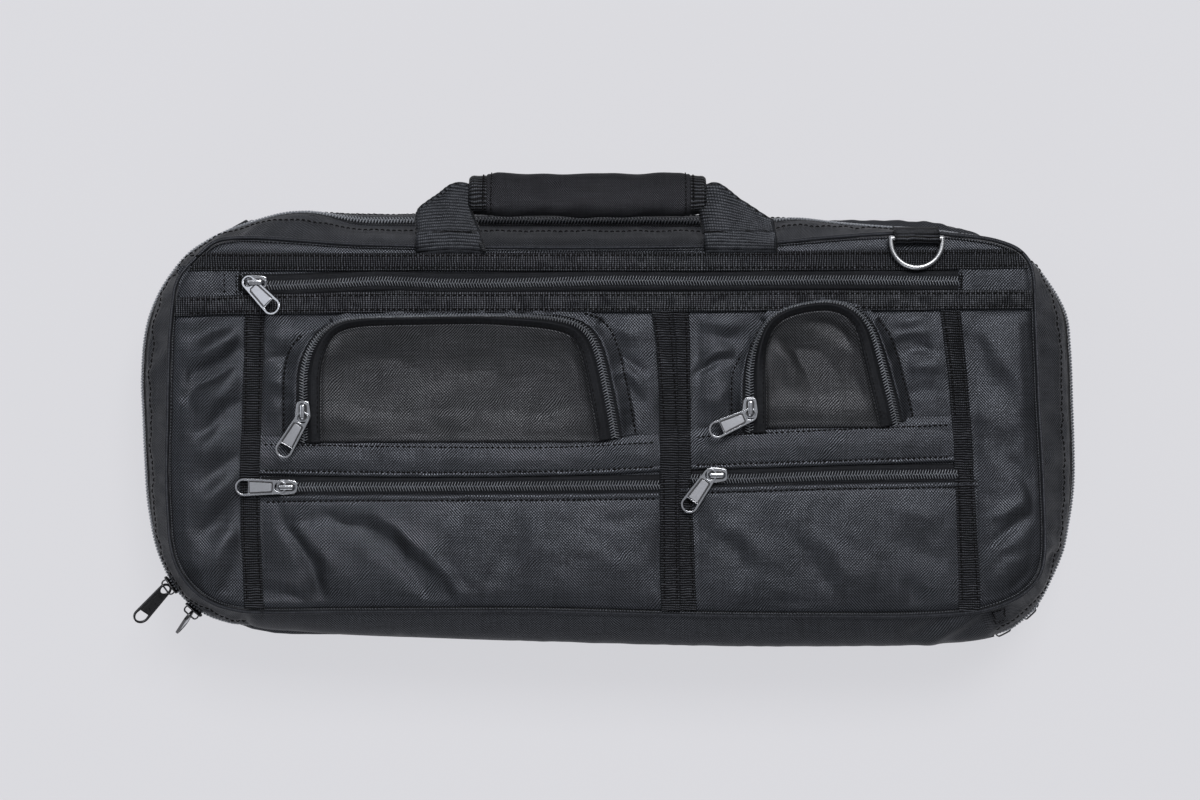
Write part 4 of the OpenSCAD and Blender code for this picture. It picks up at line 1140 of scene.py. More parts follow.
def straight_zip(tape, teeth_, points, half_tape, pitch=1.55, half=2.55, lift=0.55, x0=None, x1=None):
    L = on_front(points, lift, 400)
    L[:, 2] = ZT + lift + 0.35 * hgt(L[:, 0], L[:, 1])
    if x0 is not None:
        L = L[(L[:, 0] >= x0) & (L[:, 0] <= x1)]
    P = even(L, 0.8)[0]
    T_ = tangent(P)
    side = unit(np.cross([0, 0, 1.0], T_))
    o = np.array([-1, -0.99, -0.6, -0.42, 0, 0.42, 0.6, 0.99, 1]) * half_tape
    dz = np.array([-0.6, 0, 0.05, 0.1, 0.1, 0.1, 0.05, 0, -0.6])
    G = P[:, None] + side[:, None] * o[None, :, None]
    G[..., 2] += dz[None]
    tape.grid(G, np.stack(np.broadcast_arrays(arclen(P)[:, None], o[None]), -1), flip=True)
    coil(teeth_, P, side, np.broadcast_to([0, 0, 1.0], P.shape), pitch, half, lift=0.1)
    return P


thr = Batch()      # threads of the whole front
# -- top pocket zip
tb, cb = Batch(), Batch()
TOPZ = [(243, 285), (270, 285.3), (330, 283.4), (380, 281), (440, 283.2), (536, 282.4), (617, 280.4), (700, 281), (780, 280.2),
        (870, 280), (940, 281), (958, 281)]
straight_zip(tb, cb, TOPZ, 6.3)
tb.make("top_zip_tape", TAPE_PAINTED_SHADE, "front_cover", "zip", ["top_pocket_zip"])
cb.make("top_zip_coil", COIL_PAINTED_HIGHLIGHT, "front_cover", "zip")

# -- lower left pocket zip and lower right pocket zip
tb, cb = Batch(), Batch()
straight_zip(tb, cb, [(262, 487.4), (295, 487), (420, 486.6), (560, 485.8), (664, 485)], 5.8)
tb.make("lower_left_zip_tape", TAPE_PAINTED_SHADE, "front_cover", "zip", ["lower_left_zip"])
cb.make("lower_left_zip_coil", COIL_PAINTED_HIGHLIGHT, "front_cover", "zip")
tb, cb = Batch(), Batch()
straight_zip(tb, cb, [(690, 478.6), (740, 478.6), (790, 477), (832, 475.8), (900, 474.6), (957, 474)], 5.8)
tb.make("lower_right_zip_tape", TAPE_PAINTED_SHADE, "front_cover", "zip", ["lower_right_zip"])
cb.make("lower_right_zip_coil", COIL_PAINTED_HIGHLIGHT, "front_cover", "zip")


# -- pocket fronts: cloth sheets with a rolled top hem
def pocket(name, x0, x1, hem, node, lift=1.0, seed=5):
    n, m = int((x1 - x0) / 1.35), 52
    X = np.linspace(x0, x1, n)[:, None]
    top = smooth_line(hem, ZT + lift, 200)
    yt = np.interp(X, top[:, 0], top[:, 1])
    low = EDGE[(EDGE[:, 1] < -80)]
    o = np.argsort(low[:, 0])
    yb = np.interp(X, low[o, 0], low[o, 1]) + 0.6
    t = np.concatenate([np.linspace(0, 0.9, m - 12), np.linspace(0.915, 1.0, 12)])[None]
    Y = yb + (yt - yb) * t
    X = np.broadcast_to(X, Y.shape)
    d = yt - Y
    hemz = 0.45 * np.exp(-((d - 1.8) / 1.6) ** 2) - 0.28 * np.exp(-((d - 4.4) / 0.8) ** 2) - 0.9 * np.exp(-(d / 0.7) ** 2)
    seat = sstep(0, 3.0, Y - yb)
    Z = ZT + hgt(X, Y) + lift * seat + hemz + 0.05 * smooth_noise(9, seed, X, Y)
    G = np.stack([X, Y, Z], -1)
    curl = np.stack([G[:, -1, 0], G[:, -1, 1] - 1.0, G[:, -1, 2] - 0.7], -1)[:, None]
    G = np.concatenate([G, curl], 1)
    uv = G[..., :2].copy()
    Batch().grid(G, uv, flip=True).make(name, CLOTH, "front_cover", "cloth", [node])


pocket("lower_left_pocket_front", -197.5, 37, [(240, 493.6), (420, 493.2), (540, 492.4), (670, 491.4)], "lower_left_pocket")
pocket("lower_right_pocket_front", 40, 203, [(670, 486), (740, 485), (832, 482.6), (900, 481.4), (980, 480.6)], "lower_right_pocket")
for pts, lf in (([(266, 502), (300, 501.2), (420, 500.6), (560, 500), (656, 498.8)], 1.2),
                ([(700, 492.6), (740, 491.6), (832, 489), (900, 488), (956, 487)], 1.2)):
    stitches(thr, on_front(pts, lf + 0.1))


# -- plackets: a fold of cloth over the upper half of each lower zip
def placket(name, x0, x1, seam, fold, node, lift=1.2, seed=3):
    n = int((x1 - x0) / 1.3)
    X = np.linspace(x0, x1, n)[:, None]
    A, B = smooth_line(seam, ZT + lift, 200), smooth_line(fold, ZT + 2.6, 200)
    ya, yb = np.interp(X, A[:, 0], A[:, 1]), np.interp(X, B[:, 0], B[:, 1])
    t = np.concatenate([[0, 0.03, 0.07, 0.12], np.linspace(0.18, 0.8, 14), np.linspace(0.83, 1.0, 10)])[None]
    Y = ya + (yb - ya) * t
    d = Y - yb                        # distance above the fold
    da = ya - Y                       # distance below the seam
    z = 0.25 + 0.65 * (1 - np.exp(-da / 1.2)) + 0.35 * np.exp(-((d - 1.4) / 1.4) ** 2) - 0.32 * np.exp(-((d - 2.7) / 0.7) ** 2)
    z = z - 0.7 * np.exp(-(d / 0.55) ** 2) + 0.55 * np.exp(-((t - 0.5) / 0.28) ** 2) - 0.2 * np.exp(-(da / 0.7) ** 2)
    Xb = np.broadcast_to(X, Y.shape)
    Z = ZT + 0.75 * hgt(Xb, Y) + lift - 0.3 + z + 0.10 * smooth_noise(16, seed, Xb, Y)
    G = np.stack([Xb, Y, Z], -1)
    under = np.stack([G[:, 0, 0], G[:, 0, 1] + 2.6, G[:, 0, 2] - 0.15], -1)[:, None]
    G = np.concatenate([under, G], 1)
    c1 = np.stack([G[:, -1, 0], G[:, -1, 1] + 0.15, G[:, -1, 2] - 0.75], -1)[:, None]
    c2 = np.stack([G[:, -1, 0], G[:, -1, 1] + 2.6, G[:, -1, 2] - 1.0], -1)[:, None]
    G = np.concatenate([G, c1, c2], 1)
    Batch().grid(G, G[..., :2].copy()).make(name, CLOTH, "front_cover", "cloth", [node])


placket("left_zip_cover", -193.5, 31, [(240, 440.6), (262, 440.8), (450, 443.4), (560, 443), (670, 438)],
        [(240, 475), (300, 475.8), (360, 476.8), (420, 477.4), (520, 476.6), (600, 474.6), (670, 471)], "left_placket")
placket("right_zip_cover", 43, 192.5, [(684, 434), (705, 432), (740, 430.4), (860, 424.4), (951, 420.4), (980, 419)],
        [(684, 470.4), (740, 468.8), (800, 466.8), (860, 465), (954, 462), (980, 461)], "right_placket")
for pts in ([(264, 470.6), (300, 471), (420, 472.6), (520, 471.8), (600, 469.8), (655, 467)],
            [(696, 465.2), (740, 463.8), (800, 461.8), (860, 460), (950, 457)],
            [(264, 444.6), (300, 445), (450, 447.2), (560, 447), (655, 442.4)],
            [(696, 437.2), (740, 434.4), (860, 428.6), (950, 425)]):
    stitches(thr, on_front(pts, 2.05), size=1.1)

# -- vertical ribbons, which climb over the ends of the plackets
def over_left(X, Y):
    return 1.35 * sstep(-31, -27, Y) * sstep(-1.5, -5.5, Y)


def over_right(X, Y):
    return 1.35 * sstep(-22.5, -19, Y) * sstep(9, 5, Y)


def over_mid(X, Y):
    return 1.45 * sstep(-28, -24, Y) * sstep(3.5, -0.5, Y)


b = Batch()
vribbon(b, [(244.5, 309), (244, 340), (243, 380), (241, 440), (240.5, 518), (242.5, 570), (244, 609)],
        [(264.5, 309), (263.6, 340), (262, 380), (260.5, 440), (260, 518), (262, 570), (263.8, 609)], 1.45, 1.355, seed=3, z_extra=over_left)
b.make("ribbon_down_left", BAND, "front_cover", "webbing", ["ribbon_left"])
b = Batch()
vribbon(b, [(668, 309), (672, 340), (674, 400), (674, 460), (675, 520), (676, 611)],
        [(689, 309), (690, 340), (690.5, 400), (691, 460), (693, 520), (697, 611)], 1.35, 1.355, seed=5, z_extra=lambda X, Y: 0.9 * over_mid(X, Y))
vribbon(b, [(651, 309), (656, 340), (659.5, 400), (660, 460), (660, 520), (661, 611)],
        [(672, 309), (676, 340), (678.5, 400), (679, 460), (679.5, 520), (680.5, 611)], 2.35, 1.355, seed=6, z_extra=lambda X, Y: 0.5 * over_mid(X, Y))
b.make("ribbon_down_middle", BAND, "front_cover", "webbing", ["ribbon_middle"])
b = Batch()
vribbon(b, [(940, 306), (944, 340), (950.5, 400), (954, 460), (957, 530), (959, 611)],
        [(960, 306), (964, 340), (969.5, 400), (973, 460), (977, 530), (981.5, 611)], 1.45, 1.355, seed=8, z_extra=over_right)
b.make("ribbon_down_right", BAND, "front_cover", "webbing", ["ribbon_right"])
for pts, lf in (([(247, 316), (246, 380), (243.6, 518), (247, 600)], 1.5), ([(261, 316), (259.4, 380), (257.2, 518), (261, 600)], 1.5),
                ([(655, 316), (663, 400), (664, 518), (664.6, 602)], 2.4), ([(669, 316), (675.4, 400), (676, 518), (677.2, 602)], 2.4),
                ([(686, 316), (687.6, 400), (690, 518), (693.6, 602)], 1.4),
                ([(943.6, 312), (954, 400), (960.4, 530), (962.4, 602)], 1.5), ([(957, 312), (966.2, 400), (973.4, 530), (978, 602)], 1.5)):
    stitches(thr, on_front(pts, lf + 0.06), size=1.2)

# -- two cross bands and the end patches beside the top zip
b = Batch()
UP_LO = [(160, 271.5), (183, 271.2), (400, 270.6), (520, 271), (640, 271.4), (760, 270.8), (850, 270.4), (940, 269.6), (1045, 268.8)]
UP_HI = [(160, 253), (205, 252.4), (300, 252.6), (400, 252.8), (520, 252.2), (640, 252), (760, 251.4), (850, 250.4), (940, 249.6), (1045, 249)]
LO_LO = [(160, 317), (176, 316.6), (240, 314.4), (300, 313.8), (440, 312.8), (640, 312), (850, 310.6), (1045, 309)]
LO_HI = [(160, 298), (178, 297.8), (240, 294.8), (300, 293.2), (400, 290.6), (440, 291.8), (640, 291.4), (850, 290.2), (1045, 290)]
band(b, UP_LO, UP_HI, 1.7, 1.355, seed=1)
band(b, LO_LO, LO_HI, 2.5, 1.355, seed=2)
b.make("cross_band_pair", BAND, "front_cover", "webbing", ["cross_bands"])
pb_ = Batch()
for u0, u1, sd in ((168, 240.5, 41), (957.5, 1044, 42)):
    a0, a1 = px(u0, 283, ZT + 1)[0], px(u1, 283, ZT + 1)[0]
    if u0 < 600:
        a0 = -236.5
    else:
        a1 = 233.0
    X = np.linspace(a0, a1, 40)[:, None]
    Y = np.linspace(px(0, 300, ZT)[1], px(0, 266, ZT)[1], 22)[None]
    X, Y = np.broadcast_arrays(X, Y)
    inner_d = (a1 - X) if u0 < 600 else (X - a0)
    Z = ZT + hgt(X, Y) + 0.95 + 0.25 * np.exp(-((inner_d - 1.2) / 1.1) ** 2) - 0.9 * np.exp(-(inner_d / 0.5) ** 2)
    pb_.grid(np.stack([X, Y, Z], -1), np.stack([X, Y], -1), flip=True)
pb_.make("zip_end_patches", CLOTH, "front_cover", "cloth")
for lo, hi, lf in ((UP_LO, UP_HI, 1.75), (LO_LO, LO_HI, 2.55)):
    for f in (0.16, 0.84):
        us = np.linspace(190, 1026, 30)
        vs = np.interp(us, *np.array(lo).T) * (1 - f) + np.interp(us, *np.array(hi).T) * f
        stitches(thr, on_front(list(zip(us, vs)), lf + 0.08, 500), pitch=3.0, size=1.35)
for pts, lf in (([(236, 274), (236.4, 292)], 1.15), ([(961.5, 272), (961.5, 288)], 1.15), ([(224, 273), (224.4, 294)], 1.0)):
    stitches(thr, on_front(pts, lf, 30))
# small bar tacks where the top zip is closed off
for u in (238.6, 959.6):
    for k in range(4):
        stitches(thr, on_front([(u + k * 0.9, 275), (u + k * 0.9, 291)], 1.3, 20), pitch=1.5, size=1.1)

# ======================================================================
# Zips that run round the case: tapes, teeth and seam threads
# ======================================================================
zi = np.where(low_w <= 0.5)[0]
gap_at = int(np.argmax(np.diff(zi))) if np.diff(zi).max() > 1 else -1
zi = np.concatenate([zi[gap_at + 1:], zi[:gap_at + 1]]) if gap_at >= 0 else zi


def wrow(k, idx):
    """Wall points at profile row k (fractional) for the given stations."""
    j = k * SUB
    a = int(math.floor(j))
    t = j - a
    return WALL[idx, a] * (1 - t) + WALL[idx, min(a + 1, NR - 1)] * t


def wnorm(k, idx):
    return WN[idx, int(round(k * SUB))]


def case_zip(kc, swell, name_u, name_l, body_u, body_l, nodes_u, nodes_l):
    C = wrow(kc, zi)
    sv = unit(wrow(kc - 0.6, zi) - wrow(kc + 0.6, zi))
    tv = tangent(C)
    nv = unit(np.cross(sv, tv))
    nv *= np.sign((nv[:, :2] * OUT[zi]).sum(1).mean())
    e_ = np.minimum(arclen(C), arclen(C)[-1] - arclen(C))
    proud = (swell * sstep(72, 112, e_) * sstep(196, 226, np.abs(C[:, 0])) * sstep(84, 56, C[:, 1]))[:, None] * nv
    C = C + proud - 1.1 * np.exp(-(e_ / 7.0) ** 2)[:, None] * nv
    for half, rows, name, body, nodes in (((1), (1,), name_u, body_u, nodes_u), ((-1), (-1,), name_l, body_l, nodes_l)):
        ks = [kc - half * d for d in (0.35, 0.7, 1.1, 1.6, 2.1)]
        G = [C + sv * half * 0.35 + nv * 0.1] + [wrow(k, zi) - wnorm(k, zi) * 0.25 * (i > 1) + proud * (0.55, 0.2, 0, 0, 0)[i] for i, k in enumerate(ks)]
        G = np.stack(G, 1)
        uv = np.stack(np.broadcast_arrays(arclen(C)[:, None], np.arange(G.shape[1])[None] * 1.6), -1)
        Batch().grid(G, uv, flip=half < 0).make(name + "_tape", TAPE_PAINTED_SHADE, body, "zip", nodes, solid=0.5, off=0.0)
        cb_ = Batch()
        P, ex, _ = even(C, 0.8, extra=np.hstack([sv, nv]))
        coil(cb_, P, unit(ex[:, :3]), unit(ex[:, 3:]), 1.75, 2.85, rows=rows, h=1.05, lift=0.35)
        cb_.make(name + "_coil", COIL_PAINTED_HIGHLIGHT, body, "zip")
    return C, sv, nv


FRONT_ZIP = case_zip(9, 1.3, "front_cover_zip_half", "leaf_front_zip_half", "front_cover", "leaf",
                     ["front_cover_zip"], ["leaf_front_zip"])
BACK_ZIP = case_zip(17, 0.0, "leaf_back_zip_half", "back_cover_zip_half", "leaf", "back_cover",
                    ["leaf_back_zip"], ["back_cover_zip"])
ts_f, ts_l, ts_b = Batch(), Batch(), Batch()
order = np.roll(np.arange(NST), -int(zi[0]))
for k, bt in ((5.1, ts_f), (11.1, ts_l), (14.9, ts_l), (19.2, ts_b)):
    keep = order[low_w[order] < 0.5]
    kv = (k - (0.6 * top_w[keep] if k < 8 else 0) + np.zeros(len(keep))) * SUB
    j0 = kv.astype(int)
    fr = (kv - j0)[:, None]
    Pk = WALL[keep, j0] * (1 - fr) + WALL[keep, j0 + 1] * fr
    Nk = unit(WN[keep, j0] * (1 - fr) + WN[keep, j0 + 1] * fr)
    stitches(bt, Pk + Nk * 0.95, 3.2, 1.4 if k < 8 else 1.05, up=Nk)


def on_wall(points, lift=1.0):
    """3-D line and normals on the front wall from view pixels."""
    W_, N_ = WALL[:, :7 * SUB], WN[:, :7 * SUB]
    P, N = [], []
    for a, b_ in zip(points[:-1], points[1:]):
        for t in np.linspace(0, 1, 12, endpoint=False):
            q = px(a[0] * (1 - t) + b_[0] * t, a[1] * (1 - t) + b_[1] * t, 82)
            i = np.unravel_index(np.argmin(np.hypot(W_[..., 0] - q[0], W_[..., 1] - q[1])), W_.shape[:2])
            P.append(W_[i] + N_[i] * lift)
            N.append(N_[i])
    return np.array(P), np.array(N)


# a tack box where the corner tab is sewn to the wall
for line in ([(991, 611), (995, 623)], [(1001.5, 606.5), (1006, 619)], [(991, 611), (1001.5, 606.5)], [(995, 623), (1006, 619)]):
    Pk, Nk = on_wall(line, 0.95)
    stitches(ts_f, Pk, 2.2, 1.1, up=Nk)
ts_f.make("gusset_thread_front", THREAD_PAINTED_SHADE, "front_cover", "cloth")
ts_l.make("gusset_thread_leaf", THREAD_PAINTED_SHADE, "leaf", "cloth")
ts_b.make("gusset_thread_back", THREAD_PAINTED_SHADE, "back_cover", "cloth")

# ======================================================================
# Pouches: a wall rising to an arched zip, and the flap slung inside it
# ======================================================================
LEFT_PATH = [[-167, -7.5], [-167, 14], [-167, 34], [-160.5, 50], [-148, 60.2], [-120, 61], [-60, 62], [-24, 61],
             [-9, 53], [-2, 30], [4, -5]]
RIGHT_PATH = [[77.6, -2], [77.6, 16], [77.6, 34], [81.5, 50], [90, 63], [110, 69.5], [130, 69.5], [143, 59],
              [149, 40], [154, 20], [158.5, 3]]


def pouch(tag, path, hinge_y, tau, zleg, zarch, wleg, warch, creases, split, sag, seed):
    P2 = even(np.hstack([quad_curve(path), np.zeros((len(quad_curve(path)), 1))]), 0.85)[0][:, :2]
    n = len(P2)
    s = arclen(np.hstack([P2, np.zeros((n, 1))]))
    f = s / s[-1]
    T2 = tangent(P2)
    O2 = np.stack([-T2[:, 1], T2[:, 0]], 1)
    td = np.interp(f, *np.array(tau).T)
    for _ in range(30):
        td[1:-1] = (td[:-2] + 2 * td[1:-1] + td[2:]) / 4
    tr = np.radians(td)
    aw = sstep(28, 62, td)
    ends = np.minimum(sstep(-6, 16, s), sstep(-6, 16, s[-1] - s))
    wob = 0.35 * np.sin(s / 9.0 + seed) + 0.25 * np.sin(s / 21.0 + 2 * seed)
    zc = (zleg * (1 - aw) + zarch * aw) * ends + (ZT + 1.6) * (1 - ends) + wob * 0.5 * ends
    cs, sn = np.cos(tr), np.sin(tr)
    co = -4.6 * cs                                    # crest, measured outwards from the zip line
    cz = zc + 4.6 * sn

    def at(o, z):
        o, z = np.broadcast_arrays(np.asarray(o, float), np.asarray(z, float))
        return np.concatenate([P2 + O2 * o[:, None], z[:, None]], 1)

    side = np.concatenate([O2 * cs[:, None], -sn[:, None]], 1)      # down the zip plane, outwards
    up = np.concatenate([O2 * sn[:, None], cs[:, None]], 1)
    C3 = at(0 * s, zc)
    # outer half of the zip and the wall below it, sewn to the front
    wout = wleg * (1 - aw) + warch * aw
    ot, zt_ = 4.7 * cs, np.maximum(zc - 4.7 * sn, ZT + 0.5)
    base = ZT + hgt(P2[:, 0] + O2[:, 0] * wout, P2[:, 1] + O2[:, 1] * wout)
    over = (P2[:, 1] + O2[:, 1] * wout > 61.0) * 1.0
    base = base + 2.2 * over
    rise = np.maximum(zt_ - base, 0.2)
    rows = []
    wn = 0.35 * smooth_noise(13, seed + 3, P2[:, 0] * 1.0, P2[:, 1] * 1.0)
    for q, (a_, h_) in enumerate(((0.0, 0.98), (-0.05, 1.12), (0.03, 1.22), (0.12, 1.18), (0.26, 1.02), (0.42, 0.78), (0.58, 0.54),
                                  (0.74, 0.32), (0.88, 0.15), (0.97, 0.07), (1.0, 0.0), (1.01, -0.3))):
        o_ = ot - 0.4 + (wout - ot + 0.4) * a_
        rows.append(at(o_, base + rise * h_ + 0.35 * (q in (1, 2, 3)) + wn * math.sin(math.pi * min(1, max(0, a_))) * 1.6))
    G = np.stack(rows, 1)
    uv = np.stack(np.broadcast_arrays(s[:, None], -np.linspace(0, 14, G.shape[1])[None]), -1)
    Batch().grid(G, np.stack([G[..., 0], G[..., 1]], -1) if True else uv, flip=True).make(
        tag + "_pouch_side", CLOTH, "front_cover", "cloth", [tag + "_pouch_wall"], solid=0.7, off=1.0)
    Gt = np.stack([C3 + side * o_ + up * u_ for o_, u_ in ((0.3, 0.0), (1.5, 0.05), (3.0, 0.05), (4.6, 0.0), (5.6, -0.3))], 1)
    uvt = np.stack(np.broadcast_arrays(s[:, None], np.array([0, 1.2, 2.7, 4.3, 5.3])[None]), -1)
    Batch().grid(Gt, uvt, flip=True).make(tag + "_pouch_tape", TAPE_PAINTED_SHADE, "front_cover", "zip", [tag + "_pouch_zip"], solid=0.4, off=0.0)
    cb_ = Batch()
    coil(cb_, C3, side, up, 1.55, 2.5, rows=(1,), lift=0.12, lean_k=1 - 0.9 * aw, h=1.0)
    cb_.make(tag + "_pouch_coil", COIL_PAINTED_HIGHLIGHT, "front_cover", "zip")
    # inner half with the smooth border of the flap
    cb_ = Batch()
    coil(cb_, C3, side, up, 1.55, 2.5, rows=(-1,), lift=0.12, lean_k=1 - 0.9 * aw, h=1.0)
    cb_.make(tag + "_flap_coil", COIL_PAINTED_HIGHLIGHT, tag + "_flap_body", "zip")
    beta = np.radians(5 + 27 * aw)
    inner = [C3 - side * 0.3, C3 - side * 1.6 + up * 0.05, C3 - side * 2.9 + up * 0.1, C3 - side * 3.9 + up * 0.35,
             at(co, cz + 0.5), at(co - 0.8, cz + 0.42)]
    for d in (1.7, 2.7, 3.7, 4.3):
        inner.append(at(co - d * np.cos(beta), cz + 0.35 - (d - 0.8) * np.sin(beta) - 0.02 * d))
    inner.append(at(co - 4.7 * np.cos(beta), cz - 0.2 - 4.2 * np.sin(beta)))
    Gi = np.stack(inner, 1)
    uvi = np.stack(np.broadcast_arrays(s[:, None], np.linspace(0, 10, Gi.shape[1])[None]), -1)
    Batch().grid(Gi, uvi).make(tag + "_flap_border", TAPE_PAINTED_SHADE, tag + "_flap_body", "zip", solid=0.5, off=1.0)
    # the flap's cloth
    Bc = at(co - 4.2 * np.cos(beta), cz - 0.15 - 4.0 * np.sin(beta))
    Bc[:, 1] = np.maximum(Bc[:, 1], hinge_y + 0.2)
    i1, i2 = int(split[0] * n), int(split[1] * n)
    low = np.linspace(Bc[0], Bc[-1], 60)
    low[:, 2] = ZT + 1.55
    low[:, 1] = hinge_y + 0.2 + np.linspace(0, 1, 60) * 0
    low[0], low[-1] = Bc[0], Bc[-1]
    nx_, ny_ = int((Bc[-1, 0] - Bc[0, 0]) / 1.15), 64
    G = coons(low, Bc[i2:][::-1], Bc[i1:i2 + 1], Bc[:i1 + 1], nx_, ny_)
    X, Y = G[..., 0], G[..., 1]
    _, d, _ = seg_field(Bc[::4, :2], X, Y)
    F = np.zeros(XX.shape)
    for c in creases:
        crease(F, c[0], c[1], c[2], c[3], z=96.0)
    F += 0.22 * smooth_noise(34, seed + 9) + 0.06 * smooth_noise(12, seed + 10)
    inside = sstep(0, 7, d) * sstep(0, 6, Y - hinge_y)
    drop = 0.55 * sstep(0, 1.2, d)
    hgt_ = (Y - hinge_y) / (Bc[:, 1].max() - hinge_y)      # 0 at the hinge, 1 at the arch
    G[..., 2] += (-(sag * (1 - np.exp(-(d / 14.0) ** 1.2)) + 1.3 * np.sin(np.pi * np.clip(hgt_, 0, 1)) ** 1.5) * sstep(0, 22, Y - hinge_y) + sample(F, X, Y) * inside - drop * sstep(0, 4, Y - hinge_y))
    G[..., 2] = np.maximum(G[..., 2], ZT + 0.9)
    Batch().grid(G, np.stack([X, Y], -1), flip=True).make(tag + "_flap_cloth", CLOTH_FLAP, tag + "_flap_body", "cloth", [tag + "_flap"], solid=0.8, off=-1.0)
    # threads: along the border, and along the foot of the wall
    tb_ = Batch()
    stitches(tb_, at(co - 3.2 * np.cos(beta), cz + 0.42 - 2.5 * np.sin(beta))[6:-6], 2.7, 0.75)
    tb_.make(tag + "_flap_thread", THREAD_PAINTED_SHADE, tag + "_flap_body", "cloth")
    ft = at(wout - 1.2, base + 0.75 + rise * 0.06)
    leg = aw < 0.5
    for part in (np.where(leg & (f < 0.5))[0], np.where(leg & (f > 0.5))[0]):
        if len(part) > 8:
            stitches(thr, ft[part], 2.9, 1.25)
    return C3, side, up, s


LP = pouch("left", LEFT_PATH, -7.0, [(0, 10), (.14, 18), (.21, 44), (.27, 74), (.34, 86), (.56, 86), (.66, 66), (.74, 50), (.80, 26), (1, 14)],
           ZU + 0.9, ZU - 0.9, 12.6, 4.2,
           [([(330, 345), (380, 356), (440, 350)], -0.4, 8, 0), ([(560, 340), (584, 372), (598, 420)], -0.9, 5.0, 0.2),
            ([(360, 380), (450, 396), (560, 392)], 0.5, 16, 0), ([(330, 400), (352, 424), (360, 438)], 0.4, 5, 0),
            ([(470, 360), (520, 372), (575, 360)], 0.35, 7, 0), ([(326, 424), (420, 430), (560, 426)], -0.3, 6, 0)],
           (0.235, 0.765), 4.8, 51)
RP = pouch("right", RIGHT_PATH, 1.0, [(0, 12), (.12, 20), (.24, 50), (.32, 74), (.42, 84), (.54, 80), (.64, 56), (.74, 34), (.86, 22), (1, 14)],
           ZU + 0.9, ZU + 0.2, 11.0, 4.6,
           [([(790, 312), (832, 322), (872, 356)], -1.9, 6.0, -0.2), ([(760, 336), (788, 368), (818, 408)], 1.3, 5.0, 0.1),
            ([(770, 330), (802, 356), (836, 402)], -1.1, 4.4, 0), ([(776, 388), (800, 400), (836, 404)], 0.5, 6, 0),
            ([(850, 360), (862, 388), (872, 414)], -0.6, 4.5, 0)],
           (0.30, 0.66), 4.8, 57)
thr.make("front_threads", THREAD_PAINTED_SHADE, "front_cover", "cloth")

# ======================================================================
# Carry handle: webbing straps folded into a padded grip
# ======================================================================
HY, HZ, HANG = 104.4, 91.8, math.radians(25)


def in_handle(x, s, n):
    """Handle plane: s away from the case, n off the plane."""
    x, s, n = np.broadcast_arrays(np.asarray(x, float), np.asarray(s, float), np.asarray(n, float))
    return np.stack([x, HY + s * math.cos(HANG) + n * math.sin(HANG), HZ - s * math.sin(HANG) + n * math.cos(HANG)], -1)


def handle_px(u, v, n=1.5):
    """(x, s) in the handle plane of a view pixel, at height n over it."""
    s = 10.0
    for _ in range(8):
        z = HZ - s * math.sin(HANG) + n * math.cos(HANG)
        x, y = px(u, v, z)
        s = (y - HY - n * math.sin(HANG)) / math.cos(HANG)
    return np.array([x, s])


def strap(name, bottom_px, right_px, top_px, left_px, fan, seed, nodes=()):
    E_ = [np.array([[*handle_px(u, v), 0] for u, v in c]) for c in (bottom_px, right_px, top_px, left_px)]
    E_ = [spline(e, 60) if len(e) > 2 else np.linspace(e[0], e[-1], 60) for e in E_]
    n, m = 46, 190
    G = coons(E_[0], E_[1], E_[2], E_[3], n, m)          # n across, m up the strap
    X, S = G[..., 0], G[..., 1]
    a = np.linspace(-1, 1, n)[:, None]
    r = np.linspace(0, 1, m)[None]
    x_in = X.min()
    row = (S + 0.0125 * np.clip(X - x_in - 4, 0, None) ** 2 * sstep(-9, 24, S)) if fan else S + 0.25 * np.sin(X / 9.0) + 1.2 * a**2
    pitch = 1.87 if not fan else 1.87
    rib = 0.24 * np.cos(row / pitch * 2 * math.pi)
    edge = -0.9 * np.exp(-((1 - np.abs(a)) / 0.03) ** 1.2)
    N = 1.6 + 1.1 * (1 - a**2) * sstep(0, 0.35, r) + rib + edge + 0.8 * np.exp(-((1 - r) / 0.06) ** 2) - 1.6 * np.exp(-((1 - r) / 0.018) ** 2)
    N = N + 0.35 * smooth_noise(22, seed, X, S) * sstep(0, 0.3, r)
    V = in_handle(X, S, N)
    # the foot lies on the front fabric, over the piping
    foot = sstep(3.5, -1.0, S)
    zf = ZT + 1.75 + 0.55 * sstep(-7, -2.5, S) + rib + edge * 0.8
    zf = np.where(S < -5.2, zf - 0.16 * (-5.2 - S) ** 2, zf)
    V[..., 2] = V[..., 2] * (1 - foot) + zf * foot + 0.0
    V[..., 2] = np.maximum(V[..., 2], np.where(S < 3.0, 94.1 + rib * 0.6 + (-0.9 - 0.35 * np.clip(-S - 2.5, 0, 4)) * (S < -2.5), -1e9))
    o = Batch().grid(V, np.stack([row, a * 19 + 0 * X], -1), flip=True).make(name, STRAP, None, "webbing", nodes, solid=1.5, off=-1.0)
    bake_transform(o, "front_cover", "handle", start=(0, 0.1022, 0.092), end=(0, 0.1066, 0.092))
    return o


strap("strap_left", [(416.6, 251.6), (484.6, 252)], [(484.6, 252), (479, 232), (469, 204), (471.5, 187)],
      [(420.7, 209), (438, 197), (456.4, 184.9), (463, 184), (471.5, 187)], [(416.6, 251.6), (417.2, 230), (417.4, 214.8), (420.7, 209)],
      False, 61, ["handle_straps"])
strap("strap_right", [(706.3, 251), (776, 251.6)], [(776, 251.6), (775.4, 236), (772.7, 221.4)],
      [(697.5, 197), (703, 188), (711.3, 184.9), (740, 202), (768.5, 219.7), (772.7, 221.4)],
      [(706.3, 251), (703.8, 231.3), (700.5, 212), (697.5, 197)], True, 62)
